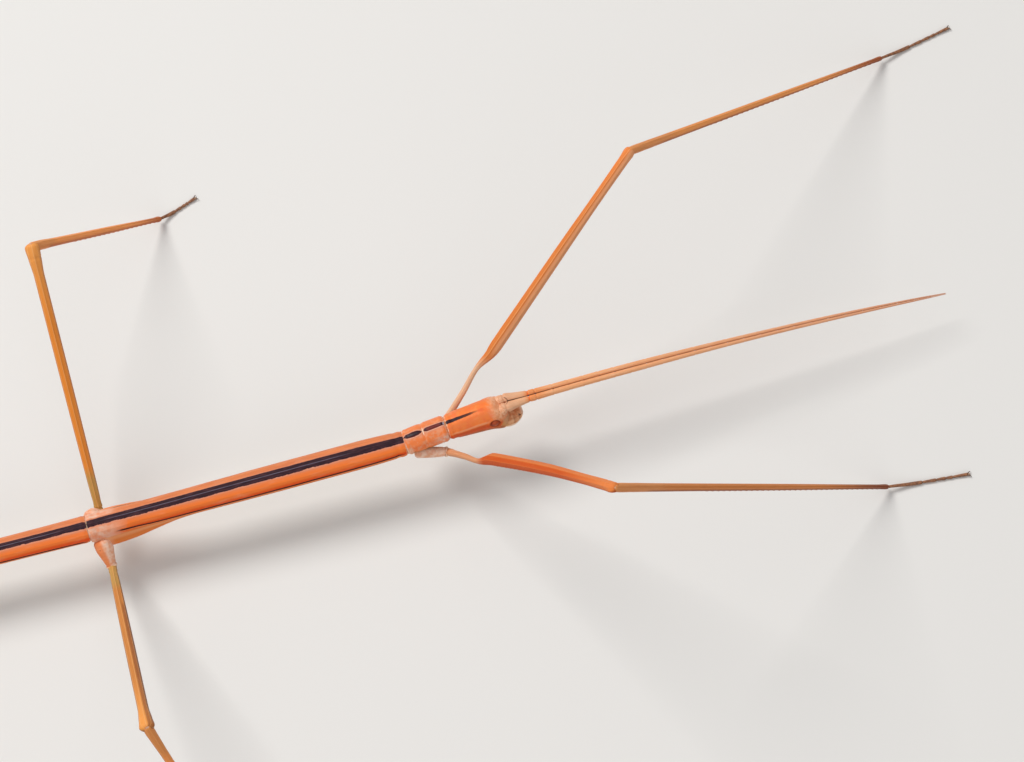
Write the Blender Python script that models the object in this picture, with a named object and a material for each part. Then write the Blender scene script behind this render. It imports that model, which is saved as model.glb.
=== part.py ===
"""Giant grass-mimicking stick insect, female and wingless, life size, standing still on six feet.

Metres, Z up. The head points along +X and the insect's left side is +Y. The body is a chain of
hard segments, each leg a chain of coxa, femur, tibia and tarsus. Every segment is its own solid,
cut square to the bend at each joint with a small gap, and the tarsi stand on small flats at Z = 0.
"""

import math
from collections import namedtuple

import bmesh
import bpy
from mathutils import Matrix, Vector

NAME = "stick_insect"
MM = 0.001

# Gaps between neighbouring solids
GAP = 0.25 * MM
EYE_GAP = 0.15 * MM
FEELER_GAP = 0.16 * MM

# Body, measured along its axis
BODY_HEIGHT = 7.8 * MM  # axis over the floor at the joint of mesothorax and metathorax
MESOTHORAX = 42.0 * MM
METATHORAX = 32.0 * MM  # with the median segment, which is fused to it
PROTHORAX = 5.75 * MM
HEAD = 8.0 * MM  # neck to the feelers' sockets
MOUTH = 2.2 * MM  # from the head's front to the tip of the mouthparts
ABDOMEN = {  # segments two to ten
    "abdomen_02": 13.0 * MM,
    "abdomen_03": 14.0 * MM,
    "abdomen_04": 13.5 * MM,
    "abdomen_05": 12.5 * MM,
    "abdomen_06": 11.5 * MM,
    "abdomen_07": 10.0 * MM,
    "abdomen_08": 6.0 * MM,
    "abdomen_09": 4.6 * MM,
    "abdomen_10": 4.6 * MM,
}
CERCUS = 9.0 * MM
OPERCULUM = 11.0 * MM
FEELER = 61.8 * MM
SCAPE = 3.2 * MM
SOCKET_HEIGHT = 1.1 * MM  # of the feelers, over the head's axis

# Headings as (azimuth from +X towards +Y, elevation), in degrees, all pointing forwards
MESO_HEADING = (0.0, 1.0)
META_HEADING = (-0.5, 0.3)
PRO_HEADING = (3.5, 7.0)
HEAD_HEADING = (2.5, 3.0)
HEAD_ROLL = -14.0  # the crown leans to the insect's left
PRO_ROLL = -5.0
FEELER_HEADINGS = ((2.0, -0.1), (0.3, -10.0))  # at the socket and at the tip
ABDOMEN_HEADINGS = ((-0.8, 0.6), (-2.6, 3.6))  # at its front and at its end

# Eyes, on the sides of the head
EYE_LENGTH = 1.5 * MM
EYE_HEIGHT = 1.15 * MM
EYE_DEPTH = 1.0 * MM
EYE_AT = Vector((6.15, 1.72, 0.28)) * MM

# Legs
TARSUS_AXIS = 0.24 * MM  # axis of a resting tarsus over the floor
ANKLE_HEIGHT = 0.95 * MM
ANKLE_RADIUS = 0.34 * MM
FOOT_DROP = 0.3  # share of the tarsus in which it comes down to the floor
KNEE_CLIP = 0.95  # blunts the point of a knee, as a share of the limb's radius
OVERRUN = 1.6 * MM  # how far a limb is first drawn out past its joints, which then trim it

BODY_SIDES = 20
LIMB_SIDES = 10

CUTICLE = ("cuticle", (0.80, 0.27, 0.07), 0.45)
PALE = ("membrane", (0.80, 0.56, 0.40), 0.60)
STRAW = ("straw_limb", (0.72, 0.42, 0.12), 0.50)
EYE = ("eye", (0.16, 0.03, 0.02), 0.20)

Ring = namedtuple("Ring", "place width top bottom splay")
Leg = namedtuple("Leg", "root hip sizes femur tibia tarsus scale profile bow")


def heading(azimuth, elevation):
    a, e = math.radians(azimuth), math.radians(elevation)
    return Vector((math.cos(a) * math.cos(e), math.sin(a) * math.cos(e), math.sin(e)))


def facing(direction, roll=0.0):
    """The turn that lays X along a direction, keeps Y level, then rolls about X."""
    x = direction.normalized()
    y = Vector((0, 0, 1)).cross(x).normalized()
    turn = Matrix((x, y, x.cross(y))).transposed().to_4x4()
    return turn @ Matrix.Rotation(math.radians(roll), 4, "X")


def mix(a, b, share):
    return a + (b - a) * share


def ring(x, width, top, bottom=None, rise=0.0, splay=0.0, shift=0.0):
    """A ring square to X, given in millimetres."""
    bottom = top if bottom is None else bottom
    place = Matrix.Translation(Vector((x, shift, rise)) * MM)
    return Ring(place, width * MM, top * MM, bottom * MM, splay)


def material(finish):
    name, colour, roughness = finish
    made = bpy.data.materials.get(name)
    if made is None:
        made = bpy.data.materials.new(name)
        made.use_nodes = True
        shader = made.node_tree.nodes["Principled BSDF"]
        shader.inputs["Base Color"].default_value = (*colour, 1.0)
        shader.inputs["Roughness"].default_value = roughness
        shader.inputs["Metallic"].default_value = 0.0
    return made


def tube(rings, sides):
    """A capped tube: a unit circle drawn out ring by ring, then shaped by the rings."""
    bm = bmesh.new()
    bmesh.ops.create_circle(bm, segments=sides, radius=1.0)
    bmesh.ops.rotate(bm, verts=bm.verts[:], matrix=Matrix.Rotation(math.radians(90), 3, "Y"))
    edges = bm.edges[:]
    for _ in rings[1:]:
        made = bmesh.ops.extrude_edge_only(bm, edges=edges)["geom"]
        verts = [g for g in made if isinstance(g, bmesh.types.BMVert)]
        bmesh.ops.translate(bm, verts=verts, vec=(1.0, 0.0, 0.0))
        new = set(verts)
        edges = [g for g in made if isinstance(g, bmesh.types.BMEdge) and new.issuperset(g.verts)]
    for v in bm.verts:
        r = rings[round(v.co.x)]
        y, z = v.co.y, v.co.z
        height = r.top if z > 0 else r.bottom
        v.co = r.place @ Vector((0.0, r.width * y * (1.0 + r.splay * max(0.0, -z)), height * z))
    close(bm)
    return bm


def close(bm):
    bmesh.ops.holes_fill(bm, edges=bm.edges[:], sides=0)
    bmesh.ops.recalc_face_normals(bm, faces=bm.faces[:])


def cut(bm, point, normal):
    """Removes what lies past a plane, and caps the cut."""
    everything = bm.verts[:] + bm.edges[:] + bm.faces[:]
    bmesh.ops.bisect_plane(
        bm, geom=everything, dist=1e-8, plane_co=point, plane_no=normal, clear_outer=True
    )
    close(bm)


def add(name, bm, finish, place, root):
    """Makes one named solid of a bmesh, placed by its location and rotation under the root."""
    mesh = bpy.data.meshes.new(name)
    bm.to_mesh(mesh)
    bm.free()
    mesh.shade_smooth()
    mesh.set_sharp_from_angle(angle=math.radians(50))
    mesh.materials.append(material(finish))
    made = bpy.data.objects.new(name, mesh)
    bpy.data.collections[NAME].objects.link(made)
    made.parent = root
    made.location, turn, _ = place.decompose()
    made.rotation_euler = turn.to_euler()
    return made


def segment(name, start, direction, length, rings, root, roll=0.0, finish=CUTICLE):
    """A body segment. Its rings give X as a share of its length, which the joint gaps shorten."""
    clear = GAP / length
    laid = []
    for r in rings:
        share = min(max(r.place.translation.x / MM, clear / 2), 1.0 - clear / 2)
        place = r.place.copy()
        place.translation.x = share * length
        laid.append(r._replace(place=place))
    place = Matrix.Translation(start) @ facing(direction, roll)
    return add(name, tube(laid, BODY_SIDES), finish, place, root)


# --- body ---------------------------------------------------------------------------------------


def body_joints():
    """The joints of the body's chain, and the heading of each segment."""
    waist = Vector((0.0, 0.0, BODY_HEIGHT))
    collar = waist + MESOTHORAX * heading(*MESO_HEADING)
    neck = collar + PROTHORAX * heading(*PRO_HEADING)
    loin = waist - METATHORAX * heading(*META_HEADING)
    return waist, collar, neck, loin


def thorax(root):
    waist, collar, neck, loin = body_joints()
    segment(
        "mesothorax",
        waist,
        heading(*MESO_HEADING),
        MESOTHORAX,
        (
            ring(0.00, 1.72, 1.52, 1.45, splay=0.10),
            ring(0.03, 1.80, 1.58, 1.55, splay=0.80),
            ring(0.07, 1.80, 1.60, 1.60, splay=1.05),
            ring(0.14, 1.74, 1.56, 1.58, splay=0.95),
            ring(0.21, 1.72, 1.55, 1.54, splay=0.55),
            ring(0.31, 1.74, 1.56, 1.52, splay=0.05),
            ring(0.62, 1.84, 1.62, 1.58),
            ring(0.85, 1.84, 1.62, 1.58),
            ring(0.95, 1.74, 1.56, 1.54, splay=0.06),
            ring(1.00, 1.60, 1.46, 1.45),
        ),
        root,
    )
    segment(
        "metathorax",
        loin,
        heading(*META_HEADING),
        METATHORAX,
        (
            ring(0.00, 1.66, 1.45, 1.42),
            ring(0.18, 1.78, 1.56, 1.55, splay=0.20),
            ring(0.25, 1.84, 1.60, 1.62, splay=0.40),
            ring(0.35, 1.78, 1.56, 1.56, splay=0.10),
            ring(0.60, 1.66, 1.52, 1.48),
            ring(0.90, 1.72, 1.54, 1.50),
            ring(0.97, 1.76, 1.56, 1.52),
            ring(1.00, 1.70, 1.50, 1.45),
        ),
        root,
    )
    segment(
        "prothorax",
        collar,
        heading(*PRO_HEADING),
        PROTHORAX,
        (
            ring(0.00, 1.52, 1.45, 1.40),
            ring(0.10, 1.66, 1.56, 1.50),
            ring(0.36, 1.72, 1.60, 1.55),
            ring(0.42, 1.66, 1.56, 1.55),
            ring(0.50, 1.74, 1.62, 1.55),
            ring(0.88, 1.74, 1.62, 1.52),
            ring(1.00, 1.60, 1.50, 1.42),
        ),
        root,
        roll=PRO_ROLL,
    )


def abdomen(root):
    """Nine segments that droop a little towards the tail, and narrow over the last three."""
    start = body_joints()[3]
    half_widths = (1.66, 1.74, 1.80, 1.80, 1.74, 1.64, 1.50, 1.30, 1.18, 0.95)
    for i, (name, length) in enumerate(ABDOMEN.items()):
        share = i / (len(ABDOMEN) - 1)
        azimuth = mix(ABDOMEN_HEADINGS[0][0], ABDOMEN_HEADINGS[1][0], share)
        elevation = mix(ABDOMEN_HEADINGS[0][1], ABDOMEN_HEADINGS[1][1], share)
        forward = heading(azimuth, elevation)
        rear, front = half_widths[i + 1], half_widths[i]
        start = start - length * forward
        segment(
            name,
            start,
            forward,
            length,
            (
                ring(0.00, rear * 0.99, rear * 0.86, rear * 0.84),
                ring(0.08, rear * 1.03, rear * 0.90, rear * 0.86),
                ring(0.50, mix(rear, front, 0.5), mix(rear, front, 0.5) * 0.86),
                ring(0.92, front * 0.98, front * 0.86, front * 0.84),
                ring(1.00, front * 0.94, front * 0.83, front * 0.81),
            ),
            root,
        )
    tail(root, start, forward)


def tail(root, end, forward):
    """The boat-shaped plate under the last segments, and two leaf-like cerci behind them."""
    place = Matrix.Translation(end) @ facing(forward)
    under = -1.62
    operculum = (
        ring(12.6, 0.75, 0.14, 0.20, rise=under - 0.10),
        ring(11.0, 1.05, 0.16, 0.45, rise=under - 0.06),
        ring(8.0, 1.12, 0.16, 0.62, rise=under),
        ring(5.0, 0.98, 0.16, 0.60, rise=under + 0.03),
        ring(3.0, 0.62, 0.16, 0.45, rise=under + 0.05),
        ring(1.7, 0.26, 0.14, 0.30, rise=under + 0.08),
    )
    shift = Matrix.Translation(Vector((OPERCULUM - 12.6 * MM, 0.0, 0.0)))
    add("operculum", tube(operculum, LIMB_SIDES + 2), CUTICLE, place @ shift, root)
    for side, sign in (("left", 1), ("right", -1)):
        out = facing(-heading(-10.0 * sign, 2.0))
        blade = (
            ring(0.3, 0.28, 0.26),
            ring(1.4, 0.45, 0.27),
            ring(4.5, 0.62, 0.27),
            ring(7.4, 0.50, 0.26),
            ring(CERCUS / MM, 0.27, 0.25),
        )
        stem = place @ Matrix.Translation(Vector((0.0, 0.48 * sign * MM, 0.15 * MM))) @ out
        add(f"cercus_{side}", tube(blade, LIMB_SIDES), STRAW, stem, root)


# --- head ---------------------------------------------------------------------------------------


def head_place():
    return Matrix.Translation(body_joints()[2]) @ facing(heading(*HEAD_HEADING), HEAD_ROLL)


def eye_place(sign):
    """An eye looks outwards and a little forwards, and is longest along the head."""
    at = Vector((EYE_AT.x, EYE_AT.y * sign, EYE_AT.z))
    turn = Matrix.Rotation(math.radians(-9.0 * sign), 4, "Z")
    return Matrix.Translation(at) @ turn


def ellipsoid(grow):
    bm = bmesh.new()
    bmesh.ops.create_uvsphere(bm, u_segments=16, v_segments=10, radius=0.5)
    size = Vector((EYE_LENGTH, EYE_DEPTH, EYE_HEIGHT)) + Vector((1, 1, 1)) * 2 * grow
    bmesh.ops.scale(bm, verts=bm.verts[:], vec=size)
    return bm


def head(root):
    """The capsule, widest at the eyes, with a socket cut into each side for its eye."""
    place = head_place()
    capsule = segment(
        "head",
        place.translation,
        heading(*HEAD_HEADING),
        HEAD,
        (
            ring(0.00, 1.52, 1.46, 1.40),
            ring(0.10, 1.72, 1.62, 1.60),
            ring(0.40, 1.90, 1.80, 1.84),
            ring(0.66, 2.02, 1.96, 2.02),
            ring(0.80, 2.06, 1.96, 2.06),
            ring(0.90, 1.94, 1.76, 2.02, rise=-0.05),
            ring(0.96, 1.80, 1.50, 1.90, rise=-0.08),
            ring(1.00, 1.66, 1.36, 1.74, rise=-0.10),
        ),
        root,
        roll=HEAD_ROLL,
    )
    for side, sign in (("left", 1), ("right", -1)):
        add(f"eye_{side}", ellipsoid(0.0), EYE, place @ eye_place(sign), root)
        socket = add(f"socket_{side}", ellipsoid(EYE_GAP), EYE, place @ eye_place(sign), root)
        bpy.data.collections[NAME].objects.unlink(socket)
        bpy.data.collections[NAME + "_cutters"].objects.link(socket)
        socket.hide_render = True
        socket.display_type = "WIRE"
        carve = capsule.modifiers.new(f"socket_{side}", "BOOLEAN")
        carve.operation = "DIFFERENCE"
        carve.solver = "EXACT"
        carve.object = socket
    front = (HEAD + GAP / 2) / MM
    lips = (
        ring(front, 1.62, 0.80, 0.92, rise=-0.96),
        ring(front + 0.5, 1.62, 0.76, 0.90, rise=-1.02),
        ring(front + 1.1, 1.38, 0.66, 0.80, rise=-1.14),
        ring(front + 1.7, 0.96, 0.48, 0.62, rise=-1.26),
        ring((HEAD + MOUTH) / MM, 0.48, 0.28, 0.38, rise=-1.34),
    )
    add("mouthparts", tube(lips, 14), PALE, place, root)


def feelers(root):
    """Two long feelers held side by side: a broad scape, then a tapering, drooping flagellum."""
    place = head_place()
    start = place @ Vector((HEAD + GAP / 2, 0.0, SOCKET_HEIGHT))
    stops = 22
    (azimuth, elevation), (last_azimuth, last_elevation) = FEELER_HEADINGS
    for side, sign in (("left", 1), ("right", -1)):
        at, rings = start.copy(), []
        for i in range(stops + 1):
            # the stops lie closer together near the head, where the scape ends
            share = (i / stops) ** 1.6
            before = ((i - 1) / stops) ** 1.6 if i else 0.0
            middle = (share + before) / 2
            bend = (mix(azimuth, last_azimuth, middle), mix(elevation, last_elevation, middle))
            forward = heading(*bend)
            at = at + forward * FEELER * (share - before)
            radius = feeler_radius(share * FEELER)
            apart = sign * (radius + FEELER_GAP / 2)
            turn = facing(forward, HEAD_ROLL * max(0.0, 1.0 - 3.0 * share))
            rings.append(
                Ring(
                    Matrix.Translation(at) @ turn @ Matrix.Translation((0.0, apart, 0.0)),
                    radius,
                    radius,
                    radius,
                    0.0,
                )
            )
        add(f"antenna_{side}", tube(rings, LIMB_SIDES), STRAW, Matrix(), root)


def feeler_radius(run):
    """Half a feeler's width: the scape narrows to its joint, and the whip thins to its tip."""
    if run < SCAPE:
        return mix(0.56, 0.44, run / SCAPE) * MM
    return max(mix(0.46, 0.16, (run - SCAPE) / (FEELER - SCAPE) * 1.15), 0.26) * MM


# --- legs ---------------------------------------------------------------------------------------

# Half width and half height along each limb, in millimetres, at shares of its length
FORE_FEMUR = ((0, 0.50, 0.44), (0.12, 0.40, 0.36), (0.20, 0.34, 0.34), (0.245, 0.58, 0.56),
              (0.30, 0.84, 0.82), (0.45, 0.79, 0.76), (0.62, 0.74, 0.70), (0.84, 0.64, 0.62),
              (0.95, 0.66, 0.64), (1, 0.60, 0.60))
MID_FEMUR = ((0, 0.50, 0.50), (0.10, 0.52, 0.52), (0.50, 0.64, 0.62), (0.88, 0.68, 0.64),
             (0.96, 0.82, 0.74), (1, 0.74, 0.70))
FORE_TIBIA = ((0, 0.50, 0.52), (0.04, 0.56, 0.58), (0.12, 0.50, 0.50), (0.6, 0.40, 0.40),
              (0.96, 0.32, 0.32), (1, 0.36, 0.36))
MID_TIBIA = ((0, 0.56, 0.58), (0.06, 0.62, 0.62), (0.16, 0.52, 0.52), (0.6, 0.42, 0.42),
             (0.95, 0.32, 0.32), (1, 0.38, 0.38))
TARSUS = ((0, 0.34, 0.34), (0.3, 0.30, 0.30), (0.85, 0.28, 0.28), (0.94, 0.34, 0.30),
          (1, 0.27, 0.27))

# how far the blade of each fore thigh runs beside its straight line, as shares and millimetres
NO_BOW = ((0, 0.0), (1, 0.0))
LEFT_BOW = ((0, 0.0), (0.12, 0.26), (0.20, 0.55), (0.27, 0.12), (0.62, 0.12), (1, 0.0))
RIGHT_BOW = ((0, 0.0), (0.12, -0.15), (0.20, -0.37), (0.30, 0.26), (0.62, 0.42), (0.84, 0.22), (1, 0.0))

FORE = (43.5 * MM, 56.6 * MM, 11.7 * MM)  # femur, tibia, tarsus
MID = (35.7 * MM, 30.9 * MM, 6.0 * MM)
HIND = (41.0 * MM, 43.0 * MM, 7.0 * MM)
COXA_RADIUS = 0.66 * MM
FLANKS = {  # half width and half height of the thorax where each pair of legs joins it
    "fore": (1.78 * MM, 1.60 * MM),
    "mid": (2.62 * MM, 1.78 * MM),
    "hind": (2.25 * MM, 1.62 * MM),
}


def legs():
    """Each leg's root on the body and its hip, then its lengths and headings, as posed."""
    waist, _, neck, loin = body_joints()
    rear = loin + 0.25 * METATHORAX * heading(*META_HEADING)

    def spot(joint, x, y, z):
        return joint + Vector((x, y, z)) * MM

    fore, mid = (FORE_FEMUR, FORE_TIBIA), (MID_FEMUR, MID_TIBIA)
    return {
        "fore_left": Leg(spot(neck, -3.9, 1.35, -2.4), spot(neck, 0.0, 1.57, -2.6), FORE,
                         (33.1, 34.6), 23.3, 12.0, (1.008, 0.994), fore, LEFT_BOW),
        "fore_right": Leg(spot(neck, -4.2, -1.65, -1.9), spot(neck, -0.54, -2.55, -1.9), FORE,
                          (-56.2, 52.0), 5.7, -5.3, (0.992, 1.006), fore, RIGHT_BOW),
        "mid_left": Leg(spot(waist, 1.0, 1.9, -1.5), spot(waist, 1.80, 2.65, -2.7), MID,
                        (88.9, 33.3), 34.0, 21.2, (1.0, 1.0), mid, NO_BOW),
        "mid_right": Leg(spot(waist, 1.4, -2.5, -1.4), spot(waist, 1.72, -4.85, -2.8), MID,
                         (-88.6, 37.6), -67.4, -58.0, (1.0, 1.0), mid, NO_BOW),
        "hind_left": Leg(spot(rear, 0.0, 2.3, -1.6), spot(rear, -1.0, 4.3, -2.5), HIND,
                         (128.0, 33.0), 157.0, 168.0, (1.0, 1.0), mid, NO_BOW),
        "hind_right": Leg(spot(rear, 0.0, -2.3, -1.6), spot(rear, -1.2, -4.2, -2.5), HIND,
                          (-135.0, 35.0), -152.0, -170.0, (1.0, 1.0), mid, NO_BOW),
    }


def joint_points(leg):
    """The knee, ankle and toe, which follow from the hip, the headings and the lengths."""
    femur, tibia, tarsus = leg.sizes
    femur, tibia = femur * leg.scale[0], tibia * leg.scale[1]
    knee = leg.hip + femur * heading(*leg.femur)
    drop = math.degrees(math.asin((ANKLE_HEIGHT - knee.z) / tibia))
    ankle = knee + tibia * heading(leg.tibia, drop)
    toe = ankle + tarsus * heading(leg.tarsus, 0.0)
    return knee, ankle, toe


def limb_rings(profile, length, bow=NO_BOW):
    """A limb's rings along X. A bow carries them aside and up from the straight line."""
    rings = []
    for share, width, height in profile:
        for (low, before), (high, after) in zip(bow, bow[1:]):
            if low <= share <= high:
                aside = mix(before, after, (share - low) / (high - low))
        rings.append(
            ring(share * length / MM, width, height, shift=0.86 * aside, rise=0.50 * aside)
        )
    return rings


def lengthened(rings, extra):
    """The same tube, drawn out past both ends so that the joint planes can cut it."""
    first, last = rings[0], rings[-1]
    ahead = Matrix.Translation((extra, 0.0, 0.0))
    return [
        first._replace(place=ahead.inverted() @ first.place),
        *rings,
        last._replace(place=ahead @ last.place),
    ]


def trim_at(bm, place, joint, along, neighbour, radius):
    """Cuts a limb along the plane that halves the bend at a joint, and blunts the elbow."""
    inward = place.inverted()
    turn = inward.to_3x3()
    square = (turn @ (along + neighbour)).normalized()
    at = inward @ joint
    cut(bm, at - square * GAP / 2, square)
    elbow = turn @ (along - neighbour)
    if elbow.length > 0.6:
        elbow.normalize()
        cut(bm, at + elbow * radius * KNEE_CLIP, elbow)


def limb(name, start, end, rings, before, after, radii, root):
    """One straight piece of a leg between two joints, mitred to its neighbours."""
    along = (end - start).normalized()
    place = Matrix.Translation(start) @ facing(along)
    bm = tube(lengthened(rings, OVERRUN), LIMB_SIDES)
    trim_at(bm, place, start, -along, -before, radii[0])
    trim_at(bm, place, end, along, after, radii[1])
    return add(name, bm, STRAW, place, root)


def coxa(name, leg, axis_point, flank_size, after, root):
    """The stub that carries a leg. Its inner end is cut flat, clear of the thorax."""
    along = (leg.hip - leg.root).normalized()
    length = (leg.hip - leg.root).length
    place = Matrix.Translation(leg.root) @ facing(along)
    rings = [
        Ring(Matrix.Translation((share * length, 0.0, 0.0)), *(3 * [COXA_RADIUS * grow]), 0.0)
        for share, grow in ((0.0, 1.25), (0.45, 1.12), (0.75, 0.96), (1.0, 1.0))
    ]
    bm = tube(lengthened(rings, OVERRUN), LIMB_SIDES)
    trim_at(bm, place, leg.hip, along, after, COXA_RADIUS)
    away = leg.root - axis_point
    away.x = 0.0
    away.normalize()
    inward = place.inverted()
    half_width, half_height = flank_size
    reach = 1.0 / math.hypot(away.y / half_width, away.z / half_height)
    cut(bm, inward @ (axis_point + away * (reach + GAP)), inward.to_3x3() @ -away)
    return add(name, bm, PALE, place, root)


def foot(name, ankle, toe, before, root):
    """A tarsus comes down from the ankle and lies along the floor, flat underneath."""
    length = (toe - ankle).length
    along = (toe - ankle).normalized()
    place = Matrix.Translation(ankle) @ facing(along)
    rings = []
    for share, width, height in TARSUS:
        fall = min(share / FOOT_DROP, 1.0) * (ANKLE_HEIGHT - TARSUS_AXIS) / MM
        rings.append(ring(share * length / MM, width, height, rise=-fall))
    first = rings[0]
    back = Matrix.Translation(Vector((-1.0, 0.0, 0.5)) * MM)
    bm = tube([first._replace(place=back @ first.place), *rings], LIMB_SIDES)
    trim_at(bm, place, ankle, -along, -before, ANKLE_RADIUS)
    cut(bm, Vector((0.0, 0.0, -ankle.z)), Vector((0.0, 0.0, -1.0)))
    return add(name, bm, STRAW, place, root)


def build_legs(root):
    waist, collar, neck, loin = body_joints()
    axes = {
        "fore": (collar, neck - collar),
        "mid": (waist, collar - waist),
        "hind": (loin, waist - loin),
    }
    for name, leg in legs().items():
        pair = name.split("_")[0]
        start, run = axes[pair]
        inner = start + run * (leg.root - start).dot(run) / run.length_squared
        knee, ankle, toe = joint_points(leg)
        thigh = (knee - leg.hip).normalized()
        shin = (ankle - knee).normalized()
        sole = (toe - ankle).normalized()
        stub = (leg.hip - leg.root).normalized()
        femur_profile, tibia_profile = leg.profile
        hip_radius, knee_radius = femur_profile[0][1] * MM, femur_profile[-1][1] * MM
        upper = limb_rings(femur_profile, (knee - leg.hip).length, leg.bow)
        lower = limb_rings(tibia_profile, (ankle - knee).length)
        coxa(f"coxa_{name}", leg, inner, FLANKS[pair], thigh, root)
        limb(f"femur_{name}", leg.hip, knee, upper, stub, shin, (hip_radius, knee_radius), root)
        limb(f"tibia_{name}", knee, ankle, lower, thigh, sole, (knee_radius, ANKLE_RADIUS), root)
        foot(f"tarsus_{name}", ankle, toe, shin, root)


# --- scene --------------------------------------------------------------------------------------


def centre_on_footprint(root):
    """Moves the whole insect so that the origin is under the middle of its outline."""
    bpy.context.view_layer.update()
    corners = [
        o.matrix_world @ v.co
        for o in bpy.data.collections[NAME].objects
        if o.type == "MESH"
        for v in o.data.vertices
    ]
    for axis in (0, 1):
        low, high = min(c[axis] for c in corners), max(c[axis] for c in corners)
        root.location[axis] = -(low + high) / 2


def main():
    for o in list(bpy.data.objects):
        bpy.data.objects.remove(o)
    for name in (NAME, NAME + "_cutters"):
        bpy.context.scene.collection.children.link(bpy.data.collections.new(name))
    root = bpy.data.objects.new("insect_root", None)
    bpy.data.collections[NAME].objects.link(root)
    thorax(root)
    abdomen(root)
    head(root)
    feelers(root)
    build_legs(root)
    centre_on_footprint(root)


main()
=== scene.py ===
"""The looks of a giant stick insect, life size and standing still, built round its solids.

Everything is worked out in millimetres in the insect's own frame and laid down in metres at the
end. The body plates, limbs and feelers are closed tubes, whose points keep their place along the
tube and the sine and cosine of their angle round it. The materials paint by those.
"""

import math
from collections import namedtuple

import bmesh
import bpy
import numpy as np
from mathutils import Matrix, Vector
from mathutils.kdtree import KDTree


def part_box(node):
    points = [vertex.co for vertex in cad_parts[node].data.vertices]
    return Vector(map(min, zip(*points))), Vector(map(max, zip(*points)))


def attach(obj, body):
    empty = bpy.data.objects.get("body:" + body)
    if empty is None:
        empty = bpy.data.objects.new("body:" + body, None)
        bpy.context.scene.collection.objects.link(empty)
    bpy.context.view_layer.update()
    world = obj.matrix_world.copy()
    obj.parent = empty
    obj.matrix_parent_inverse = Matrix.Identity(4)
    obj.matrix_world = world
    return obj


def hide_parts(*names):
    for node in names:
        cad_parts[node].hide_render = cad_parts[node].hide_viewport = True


bl_info = {
    "name": "Giant Stick Insect",
    "version": (1, 0, 0),
    "blender": (4, 5, 0),
    "location": "View3D > Sidebar > Stick Insect",
    "description": "Builds the looks of a life-size giant stick insect round its solids",
    "category": "Add Mesh",
}

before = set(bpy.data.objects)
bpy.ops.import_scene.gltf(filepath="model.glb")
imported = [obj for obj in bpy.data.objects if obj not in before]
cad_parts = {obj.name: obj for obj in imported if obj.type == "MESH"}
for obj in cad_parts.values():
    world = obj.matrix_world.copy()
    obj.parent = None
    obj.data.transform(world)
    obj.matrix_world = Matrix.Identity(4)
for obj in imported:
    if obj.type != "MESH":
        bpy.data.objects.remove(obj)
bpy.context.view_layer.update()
MM = 0.001

# --- the insect's plan, in millimetres, as its solids have it -------------------------------------

BODY_HEIGHT = 7.8
MESOTHORAX = 42
METATHORAX = 32
PROTHORAX = 5.75
HEAD = 8
FACE = 6.9  # where the head starts to round off to the face
ABDOMEN = (13, 14, 13.5, 12.5, 11.5, 10, 6, 4.6, 4.6)
ABDOMEN_WIDTHS = (1.66, 1.74, 1.8, 1.8, 1.74, 1.64, 1.5, 1.3, 1.18, 0.95)
OPERCULUM = 11
CERCUS = 9
FEELER = 61.8

MESO_HEADING = (0, 1)
META_HEADING = (-0.5, 0.3)
PRO_HEADING = (3.5, 7)
PRO_ROLL = -5
HEAD_HEADING = (2.5, 3)
HEAD_ROLL = -14
FEELER_HEADINGS = ((2, -0.1), (0.3, -10))
ABDOMEN_HEADINGS = ((-0.8, 0.6), (-2.6, 3.6))
EYE_AT = (6.15, 1.72, 0.28)
EYE_YAW = 9
EYE_SIZE = (1.34, 1, 1.02)
EYE_ANGLE = 80.8  # from the back's midline, in degrees
EYE_PIT = (0.72, 0.55)  # half the socket's length and height
DEGREE = 0.0349  # how far a degree goes round the side of the head
FACET = 0.032  # from a facet's middle to its corner, as a share of the eye's width
ANKLE_HEIGHT = 0.95  # above the floor

# how far each fore thigh runs beside its straight line: shares of its length, and millimetres
NO_BOW = ((0, 0), (1, 0))
LEFT_BOW = ((0, 0), (0.12, 0.26), (0.2, 0.55), (0.27, 0.12), (0.62, 0.12), (1, 0))
RIGHT_BOW = ((0, 0), (0.12, -0.15), (0.2, -0.37), (0.3, 0.26), (0.62, 0.42), (0.84, 0.22), (1, 0))
BOW_ASIDE, BOW_UP = 0.86, 0.5  # the parts of that which go to the left and upwards

STRAY = 2.5  # the farthest that a piece may reach past the box of its solids
SHARP = math.radians(62)  # edges that turn more than this are shaded as creases

Leg = namedtuple("Leg", "root hip lengths femur tibia tarsus bow")

# a limb's colours, and the share of its length that the base's colour reaches; the fourth colour is painted
# shade on the underside, and also darkens the grain and the tip
Tint = namedtuple("Tint", "base middle tip shade line reach", defaults=(0.13,))


def heading(azimuth, elevation):
    a, e = math.radians(azimuth), math.radians(elevation)
    return Vector((math.cos(a) * math.cos(e), math.sin(a) * math.cos(e), math.sin(e)))


def turned(angle, axis):
    return Matrix.Rotation(math.radians(angle), 4, axis)


def moved(*shift):
    return Matrix.Translation(shift)


def facing(direction, roll=0):
    """The turn that lays X along a direction, keeps Y level, then rolls about X."""
    x = direction.normalized()
    y = Vector((0, 0, 1)).cross(x).normalized()
    turn = Matrix((x, y, x.cross(y))).transposed().to_4x4()
    return turn @ turned(roll, "X")


def mix(a, b, share):
    return a + (b - a) * share


def waist_point():
    """The joint of mesothorax and metathorax, read from the two solids that meet there."""
    front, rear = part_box("mesothorax"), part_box("metathorax")
    joint = Vector(((front[0].x + rear[1].x) / 2, (front[0].y + front[1].y) / 2, 0))
    return joint / MM + Vector((0, 0, BODY_HEIGHT))


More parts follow.
